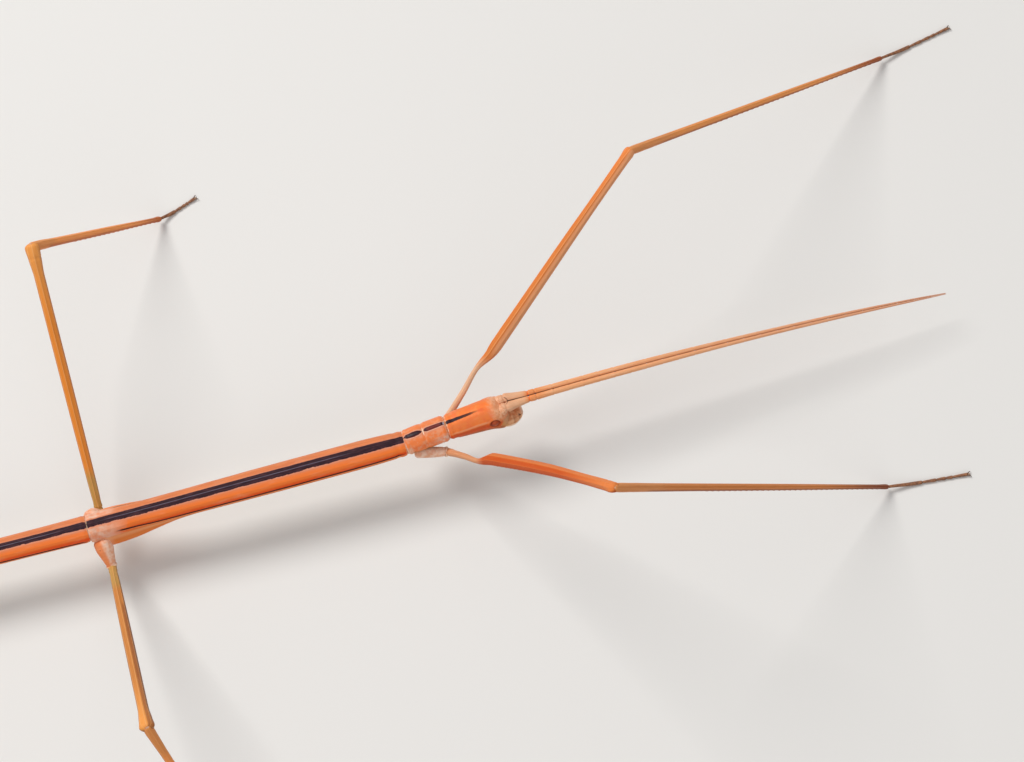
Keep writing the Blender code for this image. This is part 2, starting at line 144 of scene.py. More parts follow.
WAIST = waist_point()
COLLAR = WAIST + MESOTHORAX * heading(*MESO_HEADING)
NECK = COLLAR + PROTHORAX * heading(*PRO_HEADING)
LOIN = WAIST - METATHORAX * heading(*META_HEADING)
HEAD_PLACE = Matrix.Translation(NECK) @ facing(heading(*HEAD_HEADING), HEAD_ROLL)
LOIN_ROOT = LOIN + 0.25 * METATHORAX * heading(*META_HEADING)

# the lengths of each leg's thigh, shin and foot
MID_LENGTHS, HIND_LENGTHS = (35.7, 30.9, 6), (41, 43, 7)
LEFT_LENGTHS = (43.5 * 1.008, 56.6 * 0.994, 11.7)
RIGHT_LENGTHS = (43.5 * 0.992, 56.6 * 1.006, 11.7)

# each leg's joint on the body, its root and hip from there, its lengths, the thigh's azimuth and
# elevation, the azimuths of shin and foot, and the thigh's bow
LEG_PLANS = {
    "fore_left": (NECK, (-3.9, 1.35, -2.4), (0, 1.57, -2.6),
                  LEFT_LENGTHS, (33.1, 34.6), 23.3, 12, LEFT_BOW),
    "fore_right": (NECK, (-4.2, -1.65, -1.9), (-0.54, -2.55, -1.9),
                   RIGHT_LENGTHS, (-56.2, 52), 5.7, -5.3, RIGHT_BOW),
    "mid_left": (WAIST, (1, 1.9, -1.5), (1.8, 2.65, -2.7),
                 MID_LENGTHS, (88.9, 33.3), 34, 21.2, NO_BOW),
    "mid_right": (WAIST, (1.4, -2.5, -1.4), (1.72, -4.85, -2.8),
                  MID_LENGTHS, (-88.6, 37.6), -67.4, -58, NO_BOW),
    "hind_left": (LOIN_ROOT, (0, 2.3, -1.6), (-1, 4.3, -2.5),
                  HIND_LENGTHS, (128, 33), 157, 168, NO_BOW),
    "hind_right": (LOIN_ROOT, (0, -2.3, -1.6), (-1.2, -4.2, -2.5),
                   HIND_LENGTHS, (-135, 35), -152, -170, NO_BOW),
}
LEGS = {
    name: Leg(joint + Vector(root), joint + Vector(hip), *others)
    for name, (joint, root, hip, *others) in LEG_PLANS.items()
}


def joint_points(leg):
    """The knee, ankle and toe, which follow from the hip, the headings and the lengths."""
    femur, tibia, tarsus = leg.lengths
    knee = leg.hip + femur * heading(*leg.femur)
    drop = math.degrees(math.asin((ANKLE_HEIGHT - knee.z) / tibia))
    ankle = knee + tibia * heading(leg.tibia, drop)
    toe = ankle + tarsus * heading(leg.tarsus, 0)
    return knee, ankle, toe


# --- curves and reliefs, on whole arrays ----------------------------------------------------------


def curve(*stops):
    """A smooth curve through (place, value) stops, which never overshoots them."""
    x, y = np.array(stops, float).T
    slope = np.diff(y) / np.diff(x)
    bend = np.concatenate((slope[:1], np.zeros(len(x) - 2), slope[-1:]))
    for k in range(1, len(x) - 1):
        if slope[k - 1] * slope[k] > 0:
            bend[k] = 2 * slope[k - 1] * slope[k] / (slope[k - 1] + slope[k])

    def value(at):
        at = np.clip(at, x[0], x[-1])
        k = np.clip(np.searchsorted(x, at, side="right") - 1, 0, len(x) - 2)
        h = x[k + 1] - x[k]
        s = (at - x[k]) / h
        rising = s * s * (3 - 2 * s)
        leaving = s * (1 - s) ** 2
        arriving = s * s * (s - 1)
        return y[k] + (y[k + 1] - y[k]) * rising + h * (bend[k] * leaving + bend[k + 1] * arriving)

    return value


def level(value):
    return curve((0, value), (1, value))


def hump(value, at, width):
    return np.exp(-(((value - at) / width) ** 2))


def rise(value, low, high):
    s = np.clip((value - low) / (high - low), 0, 1)
    return s * s * (3 - 2 * s)


def window(value, low, high, soft):
    return rise(value, low - soft, low + soft) * (1 - rise(value, high - soft, high + soft))


def degrees(turn):
    """The angle from the back's midline, from 0 at the top to 180 underneath."""
    return np.degrees(np.abs((turn + np.pi) % (2 * np.pi) - np.pi))


def teeth(run, spacing):
    """A row of small teeth that lean towards the limb's tip, from 0 to 1."""
    part = (run / spacing) % 1
    return np.where(part < 0.7, part / 0.7, (1 - part) / 0.3) ** 2


def stations(low, high, count, lip):
    """Places along a tube, closer together round its rolled ends."""
    edge = lip * (1 - np.cos(np.linspace(0, np.pi / 2, 6)))[:-1]
    return np.concatenate((low + edge, np.linspace(low + lip, high - lip, count), high - edge[::-1]))


def outline(width, top, bottom=None, *, ends, lips=(0.2, 0.2), roll_in=(1, 1), splay=None, relief=None):
    """A tube's section: curves for its half width, top and bottom, and what stands proud of them.

    Each end rolls in by a quarter round of its lip's radius, or a share of it. Splay widens the
    lower half.
    """
    bottom = bottom or top

    def section(run, turn):
        side, up = np.sin(turn), np.cos(turn)
        w, h = width(run), np.where(up > 0, top(run), bottom(run))
        if splay:
            w = w * (1 + splay(run) * np.maximum(0, -up))
        proud = np.zeros_like(run) if relief is None else relief(run, turn)
        for depth, lip, share in zip((run - ends[0], ends[1] - run), lips, roll_in):
            near = np.clip(depth / lip, 0, 1)
            proud = proud - share * lip * (1 - np.sqrt(1 - (1 - near) ** 2))
        return (w + proud) * side, (h + proud) * up

    return section


# --- meshes ---------------------------------------------------------------------------------------


def new_mesh():
    bm = bmesh.new()
    bm.verts.layers.float_vector.new("skin")
    return bm


def tube(bm, places, run, sides, section, lean=None):
    """Adds a closed tube with a ring at each place, shaped by its section.

    The angle round the tube runs from 0 at the top through the left side. The skin layer keeps
    the place along the tube, and the sine and cosine of that angle. Lean moves a ring's points
    along the tube by their height.
    """
    along, turn = np.meshgrid(run, np.linspace(0, 2 * np.pi, sides + 1), indexing="ij")
    y, z = section(along, turn)
    x = np.zeros_like(y) if lean is None else lean(along, z)
    local = np.stack((x, y, z, np.ones_like(y)), axis=-1)
    frames = np.array([[list(row) for row in place] for place in places])
    points = np.einsum("nij,nsj->nsi", frames, local)[..., :3].tolist()
    marks = np.stack((along, np.sin(turn), np.cos(turn)), axis=-1).tolist()
    last = len(run) - 1
    grid = bmesh.ops.create_grid(bm, x_segments=last, y_segments=sides, size=1)["verts"]
    skin = bm.verts.layers.float_vector["skin"]
    seam, rims = [], []
    for v in grid:
        i, j = round((v.co.x + 1) * last / 2), round((v.co.y + 1) * sides / 2)
        v.co, v[skin] = points[i][j], marks[i][j]
        if j in (0, sides):
            seam.append(v)
        if i in (0, last):
            rims.append(v)
    bmesh.ops.remove_doubles(bm, verts=seam, dist=1e-4)
    edges = {e for v in rims if v.is_valid for e in v.link_edges if e.is_boundary}
    bmesh.ops.holes_fill(bm, edges=list(edges), sides=0)


def straight(start, direction, run, roll=0):
    """Places along a straight axis."""
    base = Matrix.Translation(start) @ facing(direction, roll)
    return [base @ moved(x, 0, 0) for x in run]


def along_path(spots, roll=0):
    """Places along a curved axis, each facing the way that the path goes there."""
    made = []
    for k, spot in enumerate(spots):
        ahead = spots[min(k + 1, len(spots) - 1)] - spots[max(k - 1, 0)]
        made.append(Matrix.Translation(spot) @ facing(ahead, roll))
    return made


def path_run(spots):
    """The length of a path, and a place along it for each of its points."""
    length = sum((b - a).length for a, b in zip(spots, spots[1:]))
    return length, np.linspace(0, length, len(spots))


def bent(place, stops, count):
    """Points on a smooth path through a few local stops, carried into the insect's frame."""
    stops = np.array(stops, float)
    share = np.linspace(0, 1, len(stops))
    at = np.linspace(0, 1, count)
    axes = [curve(*zip(share, stops[:, axis]))(at) for axis in range(3)]
    return [place @ Vector(p) for p in zip(*axes)]


def ellipsoid(bm, place, size):
    """Adds a smooth ball of three diameters. Its skin layer keeps its points as shares of them."""
    skin = bm.verts.layers.float_vector["skin"]
    made = bmesh.ops.create_icosphere(bm, subdivisions=3, radius=0.5)["verts"]
    for v in made:
        v[skin] = v.co * 2
        v.co = place @ Vector(c * s for c, s in zip(v.co, size))


def check_fit(made, nodes):
    """Raises an error where a piece strays from the box of the solids that it stands for."""
    boxes = [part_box(node) for node in nodes]
    corners = [made.matrix_world @ Vector(corner) for corner in made.bound_box]
    for axis in range(3):
        low = min(box[0][axis] for box in boxes) - STRAY * MM
        high = max(box[1][axis] for box in boxes) + STRAY * MM
        if min(c[axis] for c in corners) < low or max(c[axis] for c in corners) > high:
            raise ValueError(f"{made.name} strays from its solids along {'XYZ'[axis]}")


def piece(name, bm, paint, slot, *nodes):
    """Lays a finished mesh down in metres as one piece that stands for its solids."""
    bmesh.ops.recalc_face_normals(bm, faces=bm.faces[:])
    bmesh.ops.scale(bm, verts=bm.verts[:], vec=(MM, MM, MM))
    mesh = bpy.data.meshes.new(name)
    bm.to_mesh(mesh)
    bm.free()
    mesh.shade_smooth()
    mesh.set_sharp_from_angle(angle=SHARP)
    mesh.materials.append(paint)
    made = bpy.data.objects.new(name, mesh)
    bpy.context.scene.collection.objects.link(made)
    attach(made, "root")
    if nodes:
        check_fit(made, nodes)
        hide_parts(*nodes)


# --- materials ------------------------------------------------------------------------------------


class Value:
    """A number that varies over a surface. Python's operators on it add Math nodes."""

    def __init__(self, paint, socket):
        self.paint, self.socket = paint, socket

    def math(self, operation, *others):
        return self.paint.math(operation, self, *others)

    def __add__(self, other):
        return self.math("ADD", other)

    __radd__ = __add__

    def __sub__(self, other):
        return self.math("SUBTRACT", other)

    def __rsub__(self, other):
        return self.paint.math("SUBTRACT", other, self)

    def __mul__(self, other):
        return self.math("MULTIPLY", other)

    __rmul__ = __mul__

    def __truediv__(self, other):
        return self.math("DIVIDE", other)

    def __abs__(self):
        return self.math("ABSOLUTE")

    def step(self, low, high):
        """0 below one value and 1 past the other, smoothly, also where the first is the larger."""
        settings = {"interpolation_type": "SMOOTHSTEP", "clamp": True}
        inputs = {"Value": self, "From Min": low, "From Max": high}
        return Value(self.paint, self.paint.node("ShaderNodeMapRange", settings, inputs).outputs["Result"])

    def band(self, low, high, soft):
        return self.step(low - soft, low + soft) * self.step(high + soft, high - soft)

    def near(self, at, width):
        """1 at a value, falling to 0 a width away."""
        return abs(self - at).step(width, 0)


MIX_INPUTS, MIX_OUTPUT = (0, 6, 7), 2  # a Mix node's sockets for a share and two colours
COAT_ROUGHNESS = 0.12


class Paint:
    """One procedural material on a Principled shader, made node by node.

    Run is the place along a tube in millimetres. Side and up are the sine and cosine of the angle
    round it, and angle is that angle in degrees, 0 on top and positive on the insect's left.
    """

    def __init__(self, name):
        self.material = bpy.data.materials.new(name)
        self.material.use_nodes = True
        self.tree = self.material.node_tree
        self.shader = self.tree.nodes["Principled BSDF"]
        skin = self.node("ShaderNodeAttribute", {"attribute_name": "skin"})
        parts = self.node("ShaderNodeSeparateXYZ", {}, {"Vector": skin.outputs["Vector"]})
        self.run, self.side, self.up = (Value(self, parts.outputs[axis]) for axis in "XYZ")
        self.angle = self.side.math("ARCTAN2", self.up) * math.degrees(1)
        self.place = self.node("ShaderNodeTexCoord").outputs["Object"]
        self.colour = None

    def node(self, kind, settings=None, inputs=None):
        """Any node: its settings are set first, then the values or links of its sockets."""
        made = self.tree.nodes.new(kind)
        for key, value in (settings or {}).items():
            if key == "stops":
                self.set_stops(made.color_ramp, value)
            else:
                setattr(made, key, value)
        for key, value in (inputs or {}).items():
            self.feed(made.inputs[key], value)
        return made

    def set_stops(self, ramp, stops):
        while len(ramp.elements) > 1:
            ramp.elements.remove(ramp.elements[-1])
        ramp.elements[0].position, ramp.elements[0].color = stops[0][0], (*stops[0][1], 1)
        for at, colour in stops[1:]:
            ramp.elements.new(at).color = (*colour, 1)

    def feed(self, socket, value):
        value = value.socket if isinstance(value, Value) else value
        if isinstance(value, bpy.types.NodeSocket):
            self.tree.links.new(value, socket)
        elif isinstance(value, tuple) and socket.type == "RGBA":
            socket.default_value = (*value, 1)
        else:
            socket.default_value = value

    def math(self, operation, *values):
        made = self.tree.nodes.new("ShaderNodeMath")
        made.operation = operation
        for socket, value in zip(made.inputs, values):
            self.feed(socket, value)
        return Value(self, made.outputs[0])

    def blend(self, share, first, second):
        """Two colours mixed by a share."""
        made = self.tree.nodes.new("ShaderNodeMix")
        made.data_type = "RGBA"
        for place, value in zip(MIX_INPUTS, (share, first, second)):
            self.feed(made.inputs[place], value)
        return made.outputs[MIX_OUTPUT]

    def lay(self, share, over):
        """Lays a colour over the paint's own, by a share."""
        self.colour = self.blend(share, self.colour, over)

    def ramp(self, value, low, high, *stops):
        """Colours by a value: stops of (value, colour) between a lowest and a highest value."""
        share = (value - low) / (high - low)
        scaled = [((at - low) / (high - low), colour) for at, colour in stops]
        made = self.node("ShaderNodeValToRGB", {"stops": scaled}, {"Fac": share})
        return made.outputs["Color"]

    def track(self, value, low, high, most, *stops):
        """A number that follows (value, number) stops, none over the most."""
        greys = [(at, (number / most,) * 3) for at, number in stops]
        return Value(self, self.ramp(value, low, high, *greys)) * most

    def streaks(self, stretch, fineness, detail=3):
        """Noise drawn out along the tube, from 0 to 1."""
        axes = {"X": self.run / stretch, "Y": self.side * fineness, "Z": self.up * fineness}
        joined = self.node("ShaderNodeCombineXYZ", {}, axes).outputs["Vector"]
        made = self.node("ShaderNodeTexNoise", {}, {"Vector": joined, "Scale": 1, "Detail": detail})
        return Value(self, made.outputs["Fac"])

    def noise(self, size, detail=3, roughness=0.5):
        """Noise of a size in millimetres, from 0 to 1."""
        inputs = {"Vector": self.place, "Scale": 1 / (size * MM), "Detail": detail, "Roughness": roughness}
        return Value(self, self.node("ShaderNodeTexNoise", {}, inputs).outputs["Fac"])

    def cells(self, size):
        """The distance to scattered points, from 0, as a share of their size in millimetres."""
        made = self.node("ShaderNodeTexVoronoi", {}, {"Vector": self.place, "Scale": 1 / (size * MM)})
        return Value(self, made.outputs["Distance"])

    def finish(self, roughness, height=None, depth=0.03, specular=0.22, coat=0):
        """Sends the paint's colour and roughness to the shader, with a relief in millimetres."""
        self.feed(self.shader.inputs["Base Color"], self.colour)
        self.feed(self.shader.inputs["Roughness"], roughness)
        self.shader.inputs["Specular IOR Level"].default_value = specular
        self.shader.inputs["Coat Weight"].default_value = coat
        self.shader.inputs["Coat Roughness"].default_value = COAT_ROUGHNESS
        if height is not None:
            settings = {"Height": height, "Distance": depth * MM, "Strength": 1}
            bump = self.node("ShaderNodeBump", {}, settings)
            self.feed(self.shader.inputs["Normal"], bump.outputs["Normal"])
        return self.material


def tone(red, green, blue):
    """A colour from its display values of 0 to 255."""
    return tuple(
        c / 12.92 if c <= 0.04045 else ((c + 0.055) / 1.055) ** 2.4
        for c in (red / 255, green / 255, blue / 255)
    )


def hue(name):
    """A colour that is set in the sidebar."""
    return tuple(getattr(bpy.context.scene.stick_insect_colours, name))


WIDEST = 40  # the largest half width that a dark mark on the back may have, in degrees
RIM, RIM_FADE = 0.03, 0.12  # how far a plate's cream rim reaches from its ends, and then fades


def plate_base(paint, streak):
    """The body's ground colours, from the back's midline down to the belly, with long streaks."""
    drift = abs(paint.angle) + (streak - 0.5) * 12
    ground = paint.ramp(
        drift, 0, 180, (0, hue("peach")), (19, hue("peach")), (27, tone(250, 134, 74)),
        (38, hue("orange")), (52, hue("orange")), (66, hue("deep_orange")), (78, hue("deep_orange")),
        (86, tone(246, 126, 56)), (118, hue("olive")), (180, tone(196, 150, 92)),
    )
    left = paint.side.step(0.1, 0.3) * abs(paint.angle).step(100, 80)
    left_side = paint.blend(streak.step(0.3, 0.7), tone(232, 136, 82), tone(214, 120, 74))
    ground = paint.blend(left, ground, left_side)
    blush = paint.streaks(2.6, 3, 4).step(0.5, 0.8) * 0.22
    return paint.blend(blush, ground, hue("pink_white"))


def plate_paint(name, length, stripe, line, line_run, shine, pale_rear=0, flange=None):
    """A body plate: a black stripe down the back, a dark line along each side, cream end rims.

    The stripe is a list of (place, half angle) stops and the line one of (place, angle) stops.
    Line_run, shine and flange are the stretches of the line, of the glint on the stripe and of
    the lobe low on the side. Pale_rear is how far the pale patch reaches from the rear.
    """
    paint = Paint(name)
    angle, run = abs(paint.angle), paint.run
    streak = paint.streaks(5, 5)
    paint.colour = plate_base(paint, streak)
    if flange:
        lobe = run.band(*flange, 1.6) * angle.band(92, 150, 7)
        root = paint.blend(run.step(3.2, 1.2), tone(236, 128, 58), hue("pink_white"))
        paint.lay(lobe, root)
        # painted highlight: a lighter band along the flange's upper edge
        paint.lay(lobe * angle.band(92, 104, 4) * 0.6, tone(248, 176, 122))
    if pale_rear:
        blotch = paint.noise(1.1, 4, 0.6).step(0.3, 0.62)
        patch = (run + (blotch - 0.5) * 1.6).step(pale_rear, pale_rear * 0.45) * angle.band(22, 92, 5)
        paint.lay(patch * 0.9, paint.blend(blotch, tone(240, 150, 108), hue("pink_white")))

    fray = paint.noise(0.45, 5, 0.65) * 0.5 + paint.streaks(2.2, 4, 4) * 0.5 - 0.5
    ragged = paint.side.step(0.02, -0.02) * 14 + 7
    edge = paint.track(run, 0, length, WIDEST, *stripe) + fray * ragged
    inside = (edge - angle).step(-0.9, 0.9)
    border = (angle - edge).band(-0.5, 2, 1.2) * edge.step(1, 5) * 0.5
    paint.lay(border, tone(222, 146, 118))
    bloom = paint.streaks(1.2, 9, 4).step(0.42, 0.72)
    black = paint.blend(bloom * 0.6, hue("charcoal"), tone(88, 50, 56))
    paint.lay(inside, black)
    glint = angle.step(2, 0.8) * run.band(*shine, 2) * inside
    paint.lay(glint * (paint.streaks(3, 2) * 0.5 + 0.2), tone(140, 130, 150))

    offset = angle - paint.track(run, 0, length, 180, *line)
    drawn = run.band(*line_run, 0.6)
    rims = offset.band(4.4, 10, 1.2) * drawn
    paint.lay(rims * 0.8, tone(240, 146, 84))
    groove = offset.band(-3.6, 4.4, 0.8) * drawn
    paint.lay(groove, tone(52, 18, 10))

    collar = run.step(RIM + RIM_FADE, RIM) + run.step(length - RIM - RIM_FADE, length - RIM)
    mottle = paint.noise(0.35, 4).step(0.42, 0.6)
    paint.lay(collar * (mottle * 0.7 + 0.1), hue("cream"))
    height = paint.streaks(0.9, 26, 5) + paint.cells(0.17) * 0.5
    gloss = 0.46 + inside * 0.1 + streak * 0.1
    return paint.finish(gloss, height, specular=0.2)


def pronotum_paint():
    """The front plate of the thorax: a glossy oval, a white gap and a maroon bar down its back."""
    length = PROTHORAX
    paint = Paint("pronotum_cuticle")
    angle, run = abs(paint.angle), paint.run
    paint.colour = plate_base(paint, paint.streaks(3, 4))
    warm = angle.band(18, 92, 8) * 0.75
    paint.lay(warm, tone(244, 132, 72))
    pale = paint.noise(0.5, 4).step(0.5, 0.64) * angle.band(14, 100, 10) * 0.5
    paint.lay(pale, tone(240, 172, 132))
    fray = (paint.noise(0.2, 4) - 0.5) * 2.2
    oval = paint.track(
        run, 0, length, WIDEST,
        (0, 0), (0.2, 3), (0.5, 9.5), (1.4, 12.5), (2.1, 11), (2.5, 6), (2.68, 0),
        (2.86, 0), (3, 6.5), (3.3, 9.5), (4.4, 9), (5.3, 8), (5.5, 8), (5.75, 6),
    ) + fray
    front = run.step(2.7, 2.9)
    inside = (oval - angle).step(-0.8, 0.8)
    core = (oval - angle).step(2.2, 4.2)
    ends = run.step(3.5, 3.1) + run.step(5, 5.3)
    heart = paint.blend(front * (1 - ends), hue("charcoal"), hue("maroon"))
    bar = paint.blend(core, hue("maroon"), heart)
    halo = (angle - oval).band(-0.5, 3.5, 1.5) * 0.5
    paint.lay(halo, hue("pink_white"))
    paint.lay(inside, bar)
    spot = run.near(5.62, 0.22) * angle.step(7, 4)
    paint.lay(spot, tone(176, 172, 180))
    gap = run.near(2.77, 0.14) * angle.step(26, 8)
    paint.lay(gap * 0.9, hue("cream"))
    blotch = paint.noise(0.5, 4, 0.6).step(0.38, 0.58)
    corner = run.step(3.6, 5) * angle.band(52, 110, 12) * paint.side.step(0, -0.2)
    paint.lay(corner * (blotch * 0.6 + 0.3), hue("pink_white"))
    collar = run.step(0.24, 0.12) * angle.step(16, 40) + run.step(5.62, 5.7)
    cuff = run.step(1, 0.6) * angle.band(56, 112, 8) * 0.8
    paint.lay(cuff * (blotch * 0.5 + 0.4), tone(246, 204, 172))
    paint.lay(collar * (1 - inside * 0.7) * (blotch * 0.7 + 0.1), hue("cream"))
    pit = run.near(0.9, 0.3) * angle.near(97, 7)
    paint.lay(pit * 0.8, hue("brown"))
    height = paint.noise(0.14, 4) + paint.cells(0.2) * 0.4
    return paint.finish(0.44 - inside * 0.08, height)


def head_paint():
    """The head: orange on top with a dark stripe from the neck, pale and speckled at the front."""
    paint = Paint("head_cuticle")
    angle, run = abs(paint.angle), paint.run
    streak = paint.streaks(3, 4)
    drift = angle + (streak - 0.5) * 14
    paint.colour = paint.ramp(
        drift, 0, 180, (0, hue("orange")), (35, tone(238, 128, 66)), (68, hue("orange")),
        (84, hue("deep_orange")), (105, tone(186, 100, 50)), (130, hue("olive")), (180, hue("olive")),
    )
    warm = paint.noise(0.8, 3).step(0.45, 0.7) * 0.5
    paint.lay(warm, tone(240, 110, 66))
    sunny = paint.noise(0.6, 3).step(0.52, 0.72) * angle.step(70, 40) * 0.4
    paint.lay(sunny, tone(240, 166, 96))

    fray = (paint.noise(0.2, 4) - 0.5) * 2.5
    stops = ((0, 7), (0.3, 9), (1.2, 7.6), (2.6, 6.4), (3.4, 5.2), (4.6, 2.4), (5.2, 0))
    half = paint.track(run, 0, HEAD, WIDEST, *stops)
    shift = run * 1.6 + 2
    centre = abs(paint.angle + shift)
    inside = (half + fray - centre).step(-0.8, 0.8) * run.step(5.2, 3.2)
    black, brown = hue("charcoal"), hue("brown")
    ink = paint.ramp(run, 0, HEAD, (0, black), (1.6, black), (3.2, brown), (4.6, tone(150, 88, 30)))
    paint.lay(inside, ink)
    blotch = run.near(5, 0.9) * centre.near(2, 9)
    paint.lay(blotch * 0.7, tone(232, 96, 36))

    front = (run + (paint.noise(0.5, 4) - 0.5) * 1.2).step(5.4, 6.8) * angle.step(84, 60)
    skin = paint.blend(paint.noise(0.4, 5, 0.6).step(0.35, 0.65), tone(224, 148, 102), tone(238, 180, 140))
    paint.lay(front * 0.92, skin)
    streaky = angle.band(62, 70, 3) * run.band(0.4, 5.4, 0.5)
    paint.lay(streaky * 0.55, tone(246, 178, 130))
    under = angle.band(73, 88, 5) * run.band(0.2, 5, 0.4)
    paint.lay(under * 0.5, tone(196, 88, 40))

    across = (angle - EYE_ANGLE) * DEGREE / EYE_PIT[1]
    length = (run - EYE_AT[0]) / EYE_PIT[0]
    ring = (across * across + length * length).math("SQRT")
    face = run.step(FACE, 7.5) * angle.step(66, 80)
    tan = paint.blend(paint.noise(0.3, 4), tone(226, 166, 122), tone(198, 136, 90))
    paint.lay(face, tan)
    olive = run.near(7.15, 0.5) * angle.near(96, 16)
    paint.lay(olive * 0.6, tone(222, 170, 94))
    halo = ring.step(1.7, 1.05) * angle.step(96, 84)
    paint.lay(halo * 0.35, tone(170, 80, 42))
    paint.lay(ring.step(1.12, 0.98), tone(190, 92, 50))
    blotch = paint.noise(0.4, 4).step(0.42, 0.6)
    rim = run.step(0.2, 0.1)
    paint.lay(rim * (1 - inside * 0.8) * (blotch * 0.6 + 0.2), hue("cream"))
    specks = paint.cells(0.34).step(0.3, 0.16) * run.step(5.8, 7) * paint.noise(0.6).step(0.5, 0.62)
    paint.lay(specks * 0.6, hue("brown"))
    height = paint.noise(0.16, 4) + paint.cells(0.19) * 0.5
    return paint.finish(0.46 + inside * 0.06, height)


def limb_paint(name, length, tint, lines, dark_tip=0, low_edge=(68, 112), face_tint_and_shading=None):
    """A limb's ridged cuticle: a colour run from base to tip, with painted shade underneath, and pale
    ridges.

    Lines are the ridges' angles, and low_edge is where the painted shade underneath starts. The face tint
    is (low, high, colour): one face in another colour, whose angles count towards the insect's left.
    """
    paint = Paint(name)
    run, angle = paint.run, abs(paint.angle)
    streak = paint.streaks(6, 3.5)
    place = run + (streak - 0.5) * length * 0.05
    paint.colour = paint.ramp(
        place, 0, length, (0, tint.base), (length * tint.reach, tint.base),
        (length * (tint.reach + 0.05), tint.middle), (length * 0.72, tint.middle), (length * 0.97, tint.tip),
    )
    # painted shade: the underside is darker, less so near the base
    low = angle + (streak - 0.5) * 30
    grown = run.step(length * (tint.reach - 0.04), length * tint.reach) * 0.6 + 0.2
    paint.lay(low.step(*low_edge) * grown, tint.shade)
    # one face in another colour: on the right fore thigh this is painted light, and on the right middle
    # thigh it is painted shade
    if face_tint_and_shading:
        upper = paint.angle.band(*face_tint_and_shading[:2], 6) * run.step(length * 0.24, length * 0.3)
        paint.lay(upper * 0.7, face_tint_and_shading[2])
    ridge = angle.near(lines[0], 7)
    for at in lines[1:]:
        ridge = ridge.math("MAXIMUM", angle.near(at, 6))
    paint.lay(ridge * 0.6, tint.line)
    grain = paint.streaks(1.6, 14, 4)
    paint.lay(grain.step(0.52, 0.75) * 0.3, tint.line)
    paint.lay(grain.step(0.44, 0.28) * 0.28, tint.shade)
    if dark_tip:
        paint.lay(run.step(length * (1 - dark_tip), length) * 0.6, tint.shade)
    height = grain + paint.streaks(0.5, 30, 4) * 0.6
    return paint.finish(0.46 + streak * 0.12, height, 0.025)


def coxa_paint(name, reach):
    """Soft pale cuticle at the root of a leg, orange behind, with a white ring at the hip."""
    paint = Paint(f"coxa_{name}_cuticle")
    ahead = paint.side * (-1 if name.endswith("left") else 1)
    mottle = paint.noise(0.6, 3)
    paint.colour = paint.blend(mottle.step(0.36, 0.66), tone(248, 206, 180), tone(240, 172, 134))
    if not name.startswith("fore"):
        rear = (ahead + (mottle - 0.5) * 0.8).step(0.05, -0.35)
        share = 0.3 if name.endswith("left") else 0.85
        paint.lay(rear * share, tone(236, 128, 62))
    paint.lay(paint.run.near(reach - 0.1, 0.18) * 0.8, hue("cream"))
    paint.lay(paint.run.near(reach - 0.32, 0.12) * 0.35, hue("brown"))
    # painted shade: the underside is darker
    paint.lay(paint.up.step(-0.3, -0.9) * 0.5, tone(190, 112, 66))
    specks = paint.cells(0.5).step(0.22, 0.1) * paint.noise(0.9).step(0.5, 0.6)
    paint.lay(specks * 0.6, hue("brown"))
    folds = (paint.run * 14 + mottle * 4).math("SINE")
    return paint.finish(0.52, folds * 0.25 + paint.streaks(0.5, 12, 4))


def soft_paint():
    """Joint skin: matt cream, folded finely round the joint."""
    paint = Paint("joint_skin")
    folds = (paint.run * 38 + paint.noise(0.4) * 5).math("SINE")
    mottle = paint.noise(0.5, 4).step(0.36, 0.56)
    paint.colour = paint.blend(mottle, tone(240, 204, 172), tone(222, 142, 96))
    # painted shade in the hollows of the folds
    paint.lay(folds.step(0.2, -0.9) * 0.3, tone(206, 130, 86))
    return paint.finish(0.62, folds * 0.5 + paint.noise(0.1), specular=0.2)


def feeler_paint(side, inner):
    """A feeler: a cream scape, an orange joint, then peach, with painted shadow on its side next to its twin
    and at the inner edge of its base.
    """
    paint = Paint(f"feeler_{side}_cuticle")
    run = paint.run
    place = run + (paint.streaks(1.2, 4) - 0.5) * 0.8
    paint.colour = paint.ramp(
        place, -0.6, FEELER, (-0.6, tone(224, 166, 128)), (2.5, tone(234, 176, 132)),
        (3.1, tone(238, 146, 84)), (4.2, tone(236, 148, 86)), (6.4, tone(240, 168, 114)),
        (30, tone(238, 170, 122)), (50, tone(226, 160, 120)), (FEELER, tone(212, 152, 122)),
    )
    grain = paint.streaks(2.2, 8, 4)
    paint.lay(grain.step(0.5, 0.72) * 0.45, tone(250, 214, 182))
    paint.lay(grain.step(0.46, 0.3) * 0.5, tone(214, 116, 62))
    joint = run.near(SCAPE, 0.1) * 0.6
    paint.lay(joint, hue("deep_orange"))
    # painted shadow in the narrow gap between the two feelers, strongest near the base
    stops = ((-1, 0), (0.3, 0), (0.5, 1), (3, 0.85), (5, 0.6), (9, 0.35), (FEELER, 0.15))
    twin_shadow = paint.track(run, -1, FEELER, 1, *stops)
    near_twin = paint.side * inner
    paint.lay(near_twin.step(0.8, 0.95) * twin_shadow, hue("brown"))
    # painted shadow where the scape's base meets its socket, on the side next to the twin
    base_shadow = (run - near_twin * 0.5).near(0, 0.13) * near_twin.step(0, 0.35) * paint.up.step(-0.2, 0.1)
    paint.lay(base_shadow * 0.85, hue("brown"))
    return paint.finish(0.5, grain + paint.cells(0.12) * 0.4, 0.02, specular=0.25)


def eye_paint():
    """A compound eye: rust with a darker rim, under a thin clear coat."""
    paint = Paint("compound_eye")
    mottle = paint.noise(0.28, 3)
    heart = abs(paint.run).step(0.75, 0.3)
    rust = (mottle * 0.5 + heart * 0.5).step(0.25, 0.75)
    paint.colour = paint.blend(rust, hue("eye_dark"), hue("eye_rust"))
    dots = paint.cells(0.4).step(0.2, 0.1)
    paint.lay(dots * 0.4, tone(96, 34, 20))
    return paint.finish(0.34, None, specular=0.3, coat=0.12)


